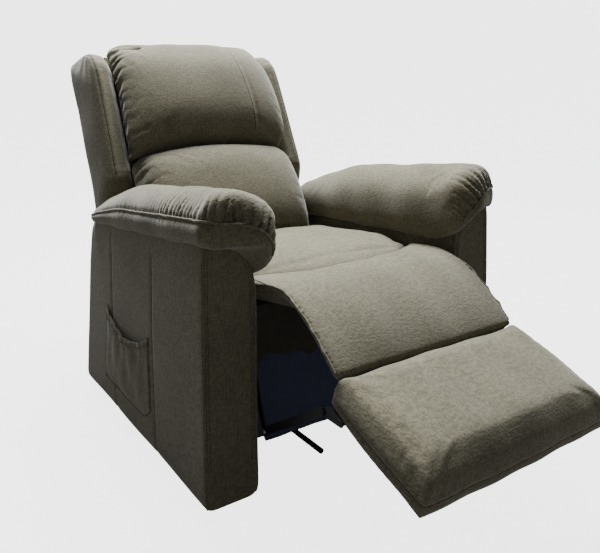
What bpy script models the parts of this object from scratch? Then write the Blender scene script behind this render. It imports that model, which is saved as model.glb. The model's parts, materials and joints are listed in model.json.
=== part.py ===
"""Lift recliner chair, modelled as the pieces it comes apart into.

Metres, +Z up, floor at Z = 0, the sitter faces -Y and their right hand is at -X.
Heights and depths are given as (y, z) with y counted rearwards from the front plane of the arms.
"""
import math

import bmesh
import bpy
from mathutils import Matrix, Vector

# ---- driving dimensions -------------------------------------------------------------------
ARM_FRONT_Y = -0.347          # world Y of the arms' front plane, which centres the chair on Y = 0
TOUCH = 0.0003                # gap left between faces that touch
PLATE_GAP = 0.001             # side clearance between plates that slide past each other
PIN_CLEARANCE = 0.0007        # radial clearance of a pin in its hole

ARM_OUTER = 0.415             # half of the width over the arms' outer faces
ARM_WIDTH = 0.124
ARM_DEPTH_FLOOR = 0.79
ARM_DEPTH_TOP = 0.70
ARM_FLOOR_GAP = 0.018
ARM_FRONT_HEIGHT = 0.565      # outer top edge at the front
ARM_REAR_HEIGHT = 0.50        # outer top edge at the rear
ARM_OVER_SEAT = 0.028         # inner top edge above the seat cushion beside it
ARM_WALL = 0.014
PAD_OVERHANG = 0.015          # arm pad beyond the arm's outer face
PAD_NOSE = 0.068              # arm pad ahead of the arm's front
PAD_CROWN = 0.098             # pad crown above the arm's outer top edge
PAD_INNER = 0.028             # how far the pad bulges over the seat
PAD_SHORT = 0.018             # pad ends this much before the arm's rear
PAD_LIFT = 0.003              # pad above the arm's sloping top
ARM_STATIONS = 6              # lengthwise divisions of an arm and its pad

SEAT_HEIGHT = 0.460           # top of the seat cushion at its front
SEAT_REAR_DROP = 0.020
SEAT_FRONT = 0.10             # seat cushion starts this far behind the arms' front
SEAT_REAR = 0.585
SEAT_SIDE_GAP = 0.005         # seat cushion to arm
RAIL_TOP = 0.374              # top of the wooden seat rails
RAIL_HEIGHT = 0.022
RAIL_WIDTH = 0.040
SPRING_WIRE = 0.004
SPRING_COUNT = 3
SPRING_PITCH = 0.140
SPRING_SWING = 0.022
SPRING_LOOPS = 9

STEEL = 0.005                 # thickness of the side plates
LINK_STEEL = 0.003            # thickness of the footrest links
LIFT_STEEL = 0.005            # thickness of the lift links
TUBE_RADIUS = 0.0125
PIN_RADIUS = 0.005
EYE_RADIUS = 0.011

BACK_HINGE = (0.615, 0.365)
BACK_TILT = 27.0              # degrees from upright, as it stands
BACK_HALF = 0.268             # half width of the upper back cushion
WING_OUTER = 0.347
BACK_LENGTH = 0.752           # from the hinge to the top, along the back
BACK_DEPTH = 0.222            # from the wings' front face to the rear cover
LUMBAR_TOP = 0.335
LUMBAR_BOTTOM = 0.09
LUMBAR_HALF = 0.250
WING_START = 0.27

FOOTREST_HALF = 0.250
FOOTREST_TILT = 20.0          # degrees below level, as it stands
FOOTREST_CREASE = (-0.212, 0.348)
FOOTREST_LENGTH = 0.260
FOOTREST_PAD = 0.060
FOOTREST_BOARD = 0.012
FOOTREST_CENTRE = (-0.115, 0.455)
FOOTREST_PIN = (-0.185, 0.268)
LINK_PIVOT = (0.085, 0.330)

LIFT_PIVOT = (0.165, 0.070)
LIFT_LENGTH = 0.342
LIFT_ANGLE = 15.0             # degrees above level, as it stands
LIFT_CRANK = (0.085, 65.0)    # cross tube: radius and angle about the lift pivot
LIFT_DRIVE = (0.140, 65.0)    # rod pin: radius and angle about the lift pivot
GUIDE_BASE = (0.186, 0.089)
GUIDE_TOP = (0.585, 0.210)

LIFT_MOTOR_PIVOT = (0.545, 0.052)
LIFT_MOTOR_X = -0.050
BACK_MOTOR_PIVOT = (0.200, 0.285)
BACK_MOTOR_PIN = (0.600, 0.245)
BACK_MOTOR_X = 0.070
ROD_BORE = 0.155               # depth of the bore that a rod slides in
LIFT_ROD_INSIDE = 0.148        # rod inside its tube as the chair stands, fully run in
BACK_ROD_INSIDE = 0.088        # this rod still has its reclining stroke to run in
FORK_REACH = 0.036             # fork pin to the solid part of the rod
FORK_GAP = 0.0055              # half the slot between a fork's tines
FORK_TINE = 0.004              # thickness of a tine
ROD_RADIUS = 0.009
ROD_CLEARANCE = 0.0015         # rod to the wall of its bore
HOUSING_RADIUS = 0.020
MOTOR_RADIUS = 0.025
MOTOR_HEIGHT = 0.088
HANGER_STEEL = 0.004           # thickness of the back motor's hanger
LEVER_HALF = 0.004             # half the thickness of the back lever

BASE_HALF = 0.246             # half width over the base rails
BASE_FRONT = 0.235
BASE_REAR = 0.66
BASE_RAIL = (0.022, 0.025)    # width and height of the base's box tube
GLIDE_HEIGHT = 0.012
GLIDE_RADIUS = 0.013
FOOT_X = 0.088                # half the distance between the two front feet
FOOT_TIP = 0.055
FOOT_RADIUS = 0.007

CURTAIN_Y = 0.130
CURTAIN_HALF = 0.250
CURTAIN_BOTTOM = 0.045
CURTAIN_THICK = 0.004
POCKET_FRONT = 0.275
POCKET_REAR = 0.610
POCKET_BOTTOM = 0.090
POCKET_TOP = 0.300
POCKET_DEPTH = 0.0142
POCKET_WALL = 0.003

ARM_INNER = ARM_OUTER - ARM_WIDTH
SIDES = (("right", -1), ("left", 1))


def clear_scene():
    for item in list(bpy.data.objects):
        bpy.data.objects.remove(item, do_unlink=True)


# ---- materials ----------------------------------------------------------------------------
def make_material(name, colour, roughness, metallic=0.0):
    mat = bpy.data.materials.new(name)
    mat.use_nodes = True
    shader = mat.node_tree.nodes["Principled BSDF"]
    shader.inputs["Base Color"].default_value = (*colour, 1.0)
    shader.inputs["Roughness"].default_value = roughness
    shader.inputs["Metallic"].default_value = metallic
    return mat


# ---- joint axes ---------------------------------------------------------------------------
def polar(centre, radius, degrees):
    angle = math.radians(degrees)
    return (centre[0] + radius * math.cos(angle), centre[1] + radius * math.sin(angle))


LIFT_TOP = polar(LIFT_PIVOT, LIFT_LENGTH, LIFT_ANGLE)
LIFT_TUBE = polar(LIFT_PIVOT, *LIFT_CRANK)
LIFT_PIN = polar(LIFT_PIVOT, *LIFT_DRIVE)
LINK_KNEE = (LINK_PIVOT[0] + FOOTREST_PIN[0] - FOOTREST_CENTRE[0],
             LINK_PIVOT[1] + FOOTREST_PIN[1] - FOOTREST_CENTRE[1])
PIVOTS = {
    "base": (0.0, 0.0),
    "lift_links": LIFT_PIVOT,
    "guide_links": GUIDE_BASE,
    "chassis": LIFT_TOP,
    "lift_motor": LIFT_MOTOR_PIVOT,
    "lift_rod": LIFT_MOTOR_PIVOT,
    "back": BACK_HINGE,
    "back_motor": BACK_MOTOR_PIVOT,
    "back_rod": BACK_MOTOR_PIVOT,
    "footrest": FOOTREST_CENTRE,
    "swing_links": LINK_PIVOT,
    "carry_links": LINK_KNEE,
}
EMPTIES = {}


def add_joint_empties():
    for body, (y, z) in PIVOTS.items():
        empty = bpy.data.objects.new("axis_" + body, None)
        empty.location = (0.0, ARM_FRONT_Y + y, z)
        empty.empty_display_size = 0.05
        bpy.context.collection.objects.link(empty)
        EMPTIES[body] = empty


# ---- making pieces ------------------------------------------------------------------------
def finish_piece(name, body, bm, mat, smooth_angle=35.0):
    """Store a mesh drawn in chair coordinates as a child of its body's joint empty."""
    y, z = PIVOTS[body]
    bmesh.ops.transform(bm, matrix=Matrix.Translation((0.0, -y, -z)), verts=bm.verts)
    bmesh.ops.recalc_face_normals(bm, faces=bm.faces)
    mesh = bpy.data.meshes.new(name)
    bm.to_mesh(mesh)
    bm.free()
    mesh.shade_smooth()
    mesh.set_sharp_from_angle(angle=math.radians(smooth_angle))
    piece = bpy.data.objects.new(name, mesh)
    piece.data.materials.append(mat)
    piece.parent = EMPTIES[body]
    bpy.context.collection.objects.link(piece)
    return piece


def round_edges(piece, width, segments=2):
    bevel = piece.modifiers.new("rounded", "BEVEL")
    bevel.width = width
    bevel.segments = segments
    bevel.limit_method = "ANGLE"
    bevel.angle_limit = math.radians(40.0)
    return piece


def box(name, body, mat, x, y, z, bevel=0.0, segments=2):
    bm = bmesh.new()
    size = Matrix.Diagonal((x[1] - x[0], y[1] - y[0], z[1] - z[0], 1.0))
    middle = Matrix.Translation(((x[0] + x[1]) / 2, (y[0] + y[1]) / 2, (z[0] + z[1]) / 2))
    bmesh.ops.create_cube(bm, size=1.0, matrix=middle @ size)
    piece = finish_piece(name, body, bm, mat)
    if bevel > 0.0:
        round_edges(piece, bevel, segments)
    return piece


def add_cylinder(bm, start, end, radius, segments=16):
    start, end = Vector(start), Vector(end)
    along = end - start
    turn = along.to_track_quat("Z", "Y").to_matrix().to_4x4()
    place = Matrix.Translation((start + end) / 2) @ turn
    bmesh.ops.create_cone(bm, cap_ends=True, segments=segments, radius1=radius, radius2=radius,
                          depth=along.length, matrix=place)


def cylinder(name, body, mat, start, end, radius, segments=16):
    bm = bmesh.new()
    add_cylinder(bm, start, end, radius, segments)
    return finish_piece(name, body, bm, mat)


def prism(name, body, mat, outline, x, bevel=0.0, segments=2):
    """Extrude a (y, z) outline from x[0] to x[1]."""
    bm = bmesh.new()
    ring = [bm.verts.new((x[0], y, z)) for y, z in outline]
    extrude_faces(bm, [bm.faces.new(ring)], x[1] - x[0], keep=True)
    piece = finish_piece(name, body, bm, mat)
    if bevel > 0.0:
        round_edges(piece, bevel, segments)
    return piece


def hull_outline(circles, steps=16):
    """Outline of a belt pulled tight round circles given as (y, z, radius)."""
    cloud = []
    for y, z, radius in circles:
        for i in range(steps):
            cloud.append(polar((y, z), radius, 360.0 * i / steps))
    cloud = sorted(set(cloud))

    def half(points):
        chain = []
        for p in points:
            while len(chain) > 1 and turn_of(chain[-2], chain[-1], p) <= 0.0:
                chain.pop()
            chain.append(p)
        return chain[:-1]

    return half(cloud) + half(cloud[::-1])


def turn_of(a, b, c):
    return (b[0] - a[0]) * (c[1] - a[1]) - (b[1] - a[1]) * (c[0] - a[0])


def plate(name, body, mat, outline, x, holes=(), studs=()):
    """Flat plate from x[0] to x[1] with round holes (y, z, r) and studs (y, z, r, x_end)."""
    bm = bmesh.new()
    loops = [outline]
    loops += [[polar((y, z), r, 22.5 * i) for i in range(16)] for y, z, r in holes]
    loops += [[polar((y, z), r, 30.0 * i) for i in range(12)] for y, z, r, _ in studs]
    rings = []
    for loop in loops:
        ring = [bm.verts.new((x[0], y, z)) for y, z in loop]
        for a, b in zip(ring, ring[1:] + ring[:1]):
            bm.edges.new((a, b))
        rings.append(ring)
    bmesh.ops.triangle_fill(bm, use_beauty=True, use_dissolve=False, edges=bm.edges[:])
    for ring in rings[1 + len(holes):]:
        bm.faces.new(ring)
    extrude_faces(bm, bm.faces[:], x[1] - x[0], keep=True)
    for y, z, _, x_end in studs:
        level = min(x, key=lambda value: abs(value - x_end))
        cap = min((f for f in bm.faces if len(f.verts) == 12 and abs(f.verts[0].co.x - level) < 1e-6),
                  key=lambda f: (f.calc_center_median().yz - Vector((y, z))).length)
        extrude_faces(bm, [cap], x_end - level, keep=False)
    return finish_piece(name, body, bm, mat)


def extrude_faces(bm, faces, distance, keep):
    grown = bmesh.ops.extrude_face_region(bm, geom=faces)
    if not keep:
        bmesh.ops.delete(bm, geom=faces, context="FACES_ONLY")
    moved = [item for item in grown["geom"] if isinstance(item, bmesh.types.BMVert)]
    bmesh.ops.translate(bm, vec=(distance, 0.0, 0.0), verts=moved)


def loft(name, body, mat, rings):
    """Skin a closed body over rings of (x, y, z) points with equal counts."""
    bm = bmesh.new()
    rows = [[bm.verts.new(point) for point in ring] for ring in rings]
    for low, high in zip(rows, rows[1:]):
        for i in range(len(low)):
            j = (i + 1) % len(low)
            bm.faces.new((low[i], low[j], high[j], high[i]))
    bm.faces.new(rows[0])
    bm.faces.new(rows[-1])
    return finish_piece(name, body, bm, mat)


def unite(piece, extra):
    """Weld another solid onto a piece, which keeps its name."""
    weld = piece.modifiers.new("weld", "BOOLEAN")
    weld.operation = "UNION"
    weld.object = extra
    extra.hide_render = True
    extra.display_type = "WIRE"
    extra.name = "guide_" + extra.name
    return piece


def cut(piece, extra):
    hole = piece.modifiers.new("cut", "BOOLEAN")
    hole.operation = "DIFFERENCE"
    hole.object = extra
    extra.hide_render = True
    extra.display_type = "WIRE"
    extra.name = "guide_" + extra.name
    return piece


def side_span(sign, near, far):
    """X range of a piece that lies from near to far out from the middle, on one side."""
    return tuple(sorted((sign * near, sign * far)))


# ---- the stack of plates beside each other, outwards from the middle ------------------------
LIFT_LINK_X = 0.2360
BRACKET_X = LIFT_LINK_X + LIFT_STEEL + PLATE_GAP * 2
GUIDE_X = BRACKET_X + STEEL + PLATE_GAP * 2
FOOT_BRACKET_X = GUIDE_X + LINK_STEEL + PLATE_GAP * 3
CARRY_X = FOOT_BRACKET_X + LINK_STEEL + PLATE_GAP
SWING_X = CARRY_X + LINK_STEEL + PLATE_GAP
SIDE_PLATE_X = SWING_X + LINK_STEEL + PLATE_GAP
BACK_BRACKET_X = SIDE_PLATE_X - PLATE_GAP * 2 - STEEL
HOLE = PIN_RADIUS + PIN_CLEARANCE


# ---- base ---------------------------------------------------------------------------------
def build_base(steel, rubber):
    wide, high = BASE_RAIL
    low = GLIDE_HEIGHT + TOUCH
    top = low + high
    for side, sign in SIDES:
        span = side_span(sign, BASE_HALF - wide, BASE_HALF)
        box(f"base_rail_{side}", "base", steel, span, (LIFT_PIVOT[0] - 0.03, BASE_REAR), (low, top), 0.002, 1)
        bracket = hull_outline([(LIFT_PIVOT[0], LIFT_PIVOT[1], EYE_RADIUS + 0.004),
                                (GUIDE_BASE[0], GUIDE_BASE[1], EYE_RADIUS + 0.002),
                                (LIFT_PIVOT[0] - 0.012, top + 0.008, 0.007),
                                (GUIDE_BASE[0] + 0.014, top + 0.008, 0.007)], 12)
        inward = sign * (LIFT_LINK_X - PLATE_GAP)
        outward = sign * (GUIDE_X + LINK_STEEL + PLATE_GAP)
        plate(f"lift_bracket_{side}", "base", steel, bracket, side_span(sign, BRACKET_X, BRACKET_X + STEEL),
              studs=((*LIFT_PIVOT, PIN_RADIUS, inward), (*GUIDE_BASE, PIN_RADIUS, outward)))
        for number, y in enumerate((LIFT_PIVOT[0], BASE_REAR - 0.03)):
            middle = sign * (BASE_HALF - wide / 2)
            end = "front" if number == 0 else "rear"
            cylinder(f"glide_{end}_{side}", "base", rubber, (middle, y, 0.0), (middle, y, GLIDE_HEIGHT),
                     GLIDE_RADIUS - 0.003, 12)
    reach = BASE_HALF - wide - TOUCH
    front = box("base_front_frame", "base", steel, (-reach, reach),
                (BASE_FRONT, BASE_FRONT + wide), (low, top))
    for side, sign in SIDES:
        x = sign * FOOT_X
        z = low + FOOT_RADIUS + 0.002
        unite(front, cylinder(f"foot_{side}", "base", steel, (x, FOOT_TIP, z), (x, BASE_FRONT + wide / 2, z),
                              FOOT_RADIUS, 12))
    rear_y = LIFT_MOTOR_PIVOT[0] + 0.035
    rear = box("base_rear_frame", "base", steel, (-reach, reach), (rear_y, rear_y + wide), (low, top))
    for number, offset in enumerate((-0.021, 0.016)):
        ear = hull_outline([(*LIFT_MOTOR_PIVOT, 0.012), (rear_y + 0.008, top - 0.008, 0.006)], 12)
        unite(rear, prism(f"clevis_{number}", "base", steel, ear,
                          (LIFT_MOTOR_X + offset, LIFT_MOTOR_X + offset + 0.005)))


# ---- lift linkage -------------------------------------------------------------------------
def build_lift_links(steel):
    for side, sign in SIDES:
        outline = hull_outline([(*LIFT_PIVOT, EYE_RADIUS), (*LIFT_TOP, EYE_RADIUS), (*LIFT_TUBE, 0.016)], 12)
        plate(f"lift_link_{side}", "lift_links", steel, outline,
              side_span(sign, LIFT_LINK_X, LIFT_LINK_X + LIFT_STEEL),
              holes=((*LIFT_PIVOT, HOLE), (*LIFT_TOP, HOLE)))
        outline = hull_outline([(*GUIDE_BASE, 0.009), (*GUIDE_TOP, 0.009)], 12)
        plate(f"guide_link_{side}", "guide_links", steel, outline,
              side_span(sign, GUIDE_X, GUIDE_X + LINK_STEEL),
              holes=((*GUIDE_BASE, HOLE), (*GUIDE_TOP, HOLE)))
    reach = LIFT_LINK_X - TOUCH
    tube = cylinder("lift_cross_tube", "lift_links", steel, (-reach, *LIFT_TUBE), (reach, *LIFT_TUBE), 0.010)
    lug = hull_outline([(*LIFT_PIN, 0.010), (*LIFT_TUBE, 0.008)], 12)
    unite(tube, prism("drive_lug", "lift_links", steel, lug, (LIFT_MOTOR_X - 0.004, LIFT_MOTOR_X + 0.004)))


def build_actuator(prefix, pivot, pin, x, eye_body, rod_body, plastic, steel, inside):
    """Electric actuator: motor housing on its rear pivot, and a forked rod that slides out of it."""
    start = Vector((x, *pivot))
    along = Vector((0.0, pin[0] - pivot[0], pin[1] - pivot[1]))
    length = along.length
    along.normalize()
    across = Vector((0.0, -along.z, along.y))
    if across.z < 0.0:
        across = -across
    tube_end = start + along * (length * 0.62)
    housing = cylinder(f"{prefix}_housing", eye_body, plastic,
                       start + along * 0.030, tube_end, HOUSING_RADIUS)
    motor_low = start + along * 0.062 - across * 0.022
    unite(housing, cylinder(f"{prefix}_motor", eye_body, plastic,
                            motor_low, motor_low + across * MOTOR_HEIGHT, MOTOR_RADIUS))
    eye = [start - along * 0.010, start + along * 0.045]
    unite(housing, box(f"{prefix}_eye", eye_body, plastic, (x - 0.012, x + 0.012),
                       sorted((eye[0].y, eye[1].y)), (start.z - 0.009, start.z + 0.009)))
    bm = bmesh.new()
    add_cylinder(bm, tube_end - along * inside, start + along * (length - FORK_REACH), ROD_RADIUS, 12)
    rod = finish_piece(f"{prefix}_rod", rod_body, bm, steel)
    bore = cylinder(f"{prefix}_bore", eye_body, steel, tube_end - along * ROD_BORE,
                    tube_end + along * 0.01, ROD_RADIUS + ROD_CLEARANCE)
    cut(housing, bore)
    end = start + along * length
    yoke = end - along * FORK_REACH
    for number, near in enumerate((-FORK_GAP - FORK_TINE, FORK_GAP)):
        tine = hull_outline([(end.y, end.z, 0.011), (yoke.y, yoke.z, 0.011)], 12)
        unite(rod, prism(f"{prefix}_tine_{number}", rod_body, steel, tine, (x + near, x + near + FORK_TINE)))
    unite(rod, box(f"{prefix}_yoke", rod_body, steel, (x - FORK_GAP - FORK_TINE, x + FORK_GAP + FORK_TINE),
                   (yoke.y - 0.006, yoke.y + 0.006), (yoke.z - 0.009, yoke.z + 0.009)))


# ---- chassis ------------------------------------------------------------------------------
def build_chassis(steel, wood, spring_steel):
    rail_low = RAIL_TOP - RAIL_HEIGHT
    mid_tube = (0.400, 0.315)
    rear_tube = (0.500, 0.315)
    for side, sign in SIDES:
        outline = [(LINK_PIVOT[0] - 0.015, LINK_PIVOT[1] - 0.013), (0.13, 0.290), (0.56, 0.290),
                   (BACK_HINGE[0] + 0.016, BACK_HINGE[1] - 0.020),
                   (BACK_HINGE[0] + 0.016, BACK_HINGE[1] + 0.014),
                   (BACK_HINGE[0] - 0.014, BACK_HINGE[1] + 0.014), (0.575, rail_low - TOUCH),
                   (LINK_PIVOT[0] - 0.015, rail_low - TOUCH)]
        plate(f"side_plate_{side}", "chassis", steel, outline,
              side_span(sign, SIDE_PLATE_X, SIDE_PLATE_X + STEEL),
              studs=((*LINK_PIVOT, PIN_RADIUS, sign * (SWING_X - PLATE_GAP / 2)),
                     (*BACK_HINGE, PIN_RADIUS + 0.002, sign * (BACK_BRACKET_X - PLATE_GAP))))
        lug = hull_outline([(*LIFT_TOP, EYE_RADIUS + 0.003), (*GUIDE_TOP, EYE_RADIUS), (*mid_tube, 0.019),
                            (*rear_tube, 0.019)], 12)
        clear = TUBE_RADIUS + TOUCH * 2
        plate(f"lift_lug_{side}", "chassis", steel, lug, side_span(sign, BRACKET_X, BRACKET_X + STEEL),
              holes=((*mid_tube, clear), (*rear_tube, clear)),
              studs=((*LIFT_TOP, PIN_RADIUS, sign * (LIFT_LINK_X - PLATE_GAP)),
                     (*GUIDE_TOP, PIN_RADIUS, sign * (GUIDE_X + LINK_STEEL + PLATE_GAP))))
    reach = SIDE_PLATE_X - TOUCH
    cylinder("chassis_mid_tube", "chassis", steel, (-reach, *mid_tube), (reach, *mid_tube), TUBE_RADIUS)
    cylinder("chassis_rear_tube", "chassis", steel, (-reach, *rear_tube), (reach, *rear_tube), TUBE_RADIUS)
    rail_half = ARM_INNER - SEAT_SIDE_GAP
    front = (SEAT_FRONT + 0.040, SEAT_FRONT + 0.040 + RAIL_WIDTH)
    rear = (SEAT_REAR - 0.055, SEAT_REAR - 0.055 + RAIL_WIDTH)
    for name, y in (("seat_front_rail", front), ("seat_rear_rail", rear)):
        box(name, "chassis", wood, (-rail_half, rail_half), y, (rail_low, RAIL_TOP), 0.002, 1)
    bracket = hull_outline([(*BACK_MOTOR_PIVOT, 0.010), (front[0] + 0.012, rail_low - 0.007, 0.0065),
                            (front[1] - 0.010, rail_low - 0.007, 0.0065)], 12)
    beside = BACK_MOTOR_X + 0.0135
    hanger = prism("back_motor_hanger", "chassis", steel, bracket, (beside, beside + HANGER_STEEL))
    unite(hanger, box("hanger_flange", "chassis", steel, (beside, beside + 0.0265),
                      (front[0] + 0.004, front[1] - 0.004), (rail_low - 0.0035, rail_low - TOUCH)))
    middle = (SPRING_COUNT - 1) / 2
    for number in range(SPRING_COUNT):
        seat_spring(f"seat_spring_{number + 1}", (number - middle) * SPRING_PITCH,
                    front[0] + 0.012, rear[1] - 0.012, spring_steel)


def seat_spring(name, x, start, end, mat):
    """Sinuous spring: a wire that swings from side to side between the two rails."""
    curve = bpy.data.curves.new(name, "CURVE")
    curve.dimensions = "3D"
    curve.bevel_depth = SPRING_WIRE / 2
    curve.bevel_resolution = 0
    curve.use_fill_caps = True
    spline = curve.splines.new("POLY")
    steps = SPRING_LOOPS * 4
    spline.points.add(steps)
    level = RAIL_TOP + SPRING_WIRE / 2 + TOUCH * 3
    py, pz = PIVOTS["chassis"]
    for i in range(steps + 1):
        share = i / steps
        swing = SPRING_SWING * math.sin(math.pi * i / 2 + math.pi / 4)
        y = start + (end - start) * share
        spline.points[i].co = (x + swing, y - py, level - pz, 1.0)
    piece = bpy.data.objects.new(name, curve)
    curve.materials.append(mat)
    piece.parent = EMPTIES["chassis"]
    bpy.context.collection.objects.link(piece)


def build_seat(fabric, border, curtain):
    half = ARM_INNER - SEAT_SIDE_GAP
    low = RAIL_TOP + SPRING_WIRE + 0.003
    outline = [(SEAT_FRONT, low), (SEAT_REAR, low), (SEAT_REAR, SEAT_HEIGHT - SEAT_REAR_DROP),
               (SEAT_FRONT, SEAT_HEIGHT)]
    prism("seat_cushion", "chassis", fabric, outline, (-half, half), 0.012)
    border_y = SEAT_FRONT - 0.014
    box("seat_front_border", "chassis", border, (-FOOTREST_HALF + 0.004, FOOTREST_HALF - 0.004),
        (border_y, border_y + 0.008), (0.262, low + 0.012), 0.003, 1)
    box("dust_curtain", "chassis", curtain, (-CURTAIN_HALF, CURTAIN_HALF),
        (CURTAIN_Y, CURTAIN_Y + CURTAIN_THICK), (CURTAIN_BOTTOM, RAIL_TOP - RAIL_HEIGHT - 0.004))


def arm_outer_top(y):
    share = y / ARM_DEPTH_TOP
    return ARM_FRONT_HEIGHT + (ARM_REAR_HEIGHT - ARM_FRONT_HEIGHT) * share


def arm_inner_top(y):
    share = max(0.0, (y - SEAT_FRONT) / (SEAT_REAR - SEAT_FRONT))
    return SEAT_HEIGHT - SEAT_REAR_DROP * min(share, 1.0) + ARM_OVER_SEAT


def arm_ring(station, inset, sign, bottom):
    """Section of an arm, from the front at station 0 to its leaning rear edge at the last one."""
    share = station / ARM_STATIONS
    shift = inset * (1.0 - 2.0 * share)
    y_low = ARM_DEPTH_FLOOR * share + shift
    y_high = ARM_DEPTH_TOP * share + shift
    outer_top = arm_outer_top(y_high) - inset * 1.6
    inner_top = arm_inner_top(y_high) - inset * 0.9
    return [(sign * (ARM_OUTER - inset), y_low, bottom), (sign * (ARM_OUTER - inset), y_high, outer_top),
            (sign * (ARM_INNER + inset), y_high, inner_top), (sign * (ARM_INNER + inset), y_low, bottom)]


def build_arms(fabric):
    for side, sign in SIDES:
        stations = range(ARM_STATIONS + 1)
        shell = loft(f"arm_shell_{side}", "chassis", fabric,
                     [arm_ring(number, 0.0, sign, ARM_FLOOR_GAP) for number in stations])
        hollow = loft(f"hollow_{side}", "chassis", fabric,
                      [arm_ring(number, ARM_WALL, sign, 0.0) for number in stations])
        cut(shell, hollow)
        rear = ARM_DEPTH_TOP - PAD_SHORT
        nose = [(-PAD_NOSE, 0.62), (-0.72 * PAD_NOSE, 0.86), (-0.3 * PAD_NOSE, 0.97)]
        body = [(ARM_DEPTH_TOP * number / ARM_STATIONS, 1.0) for number in stations[:-1]]
        loft(f"arm_pad_{side}", "chassis", fabric,
             [pad_ring(y, fullness, sign)
              for y, fullness in [*nose, *body, (rear - 0.012, 0.98), (rear, 0.94)]])


def pad_ring(y, fullness, sign):
    """Section of an arm pad: it drapes over the arm's top and down its inner side."""
    base = arm_outer_top(max(y, 0.0)) + PAD_LIFT
    crown = base + PAD_CROWN
    inner_top = arm_inner_top(max(y, 0.0)) + PAD_LIFT
    outer = ARM_OUTER + PAD_OVERHANG
    inner = ARM_INNER - PAD_INNER
    middle = (outer + inner) / 2
    points = [(ARM_OUTER - 0.004, base), (outer - 0.003, base + 0.006), (outer, base + 0.034),
              (outer - 0.022, base + 0.072), (middle + 0.012, crown), (inner + 0.038, crown - 0.014),
              (inner + 0.004, base + 0.030), (inner, inner_top + 0.030), (inner + 0.010, inner_top - 0.010),
              (ARM_INNER - 0.004, inner_top - 0.010), (ARM_INNER - 0.003, inner_top + 0.002)]
    centre = (middle, base + 0.020)
    ring = []
    for x, z in points:
        ring.append((sign * (centre[0] + (x - centre[0]) * fullness), y,
                     centre[1] + (z - centre[1]) * fullness))
    return ring


def build_pocket(fabric):
    """Pocket sewn onto the outer face of the right arm: a panel with a bottom and two sides."""
    wall_x = -(ARM_OUTER + TOUCH)
    outline = [(POCKET_FRONT, POCKET_BOTTOM + 0.03), (POCKET_FRONT + 0.03, POCKET_BOTTOM),
               (POCKET_REAR - 0.01, POCKET_BOTTOM), (POCKET_REAR, POCKET_BOTTOM + 0.02),
               (POCKET_REAR - 0.045, POCKET_TOP), ((POCKET_FRONT + POCKET_REAR) / 2, POCKET_TOP - 0.045),
               (POCKET_FRONT, POCKET_TOP)]
    pocket = prism("side_pocket", "chassis", fabric, outline, (wall_x - POCKET_DEPTH, wall_x))
    hollow = [(POCKET_FRONT + 0.012, POCKET_BOTTOM + 0.036), (POCKET_FRONT + 0.036, POCKET_BOTTOM + 0.012),
              (POCKET_REAR - 0.022, POCKET_BOTTOM + 0.012), (POCKET_REAR - 0.014, POCKET_BOTTOM + 0.026),
              (POCKET_REAR - 0.075, POCKET_TOP + 0.02), (POCKET_FRONT + 0.012, POCKET_TOP + 0.02)]
    cut(pocket, prism("pocket_hollow", "chassis", fabric, hollow,
                      (wall_x - POCKET_DEPTH + POCKET_WALL, wall_x + 0.01)))


def build_control_box(plastic):
    case = box("control_box", "chassis", plastic, (-0.225, -0.105), (0.25, 0.365), (0.300, 0.345), 0.004, 1)
    for number in range(3):
        x = -0.195 + 0.030 * number
        cut(case, box(f"socket_{number}", "chassis", plastic,
                      (x - 0.008, x + 0.008), (0.350, 0.380), (0.312, 0.330)))


# ---- back ---------------------------------------------------------------------------------
def back_point(along, behind):
    """(y, z) of a point along the back from its hinge and behind the wings' front face."""
    tilt = math.radians(BACK_TILT)
    return (BACK_HINGE[0] + along * math.sin(tilt) + behind * math.cos(tilt),
            BACK_HINGE[1] + along * math.cos(tilt) - behind * math.sin(tilt))


def back_slab(name, mat, corners, x, bevel, segments=2):
    return prism(name, "back", mat, [back_point(*corner) for corner in corners], x, bevel, segments)


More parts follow.
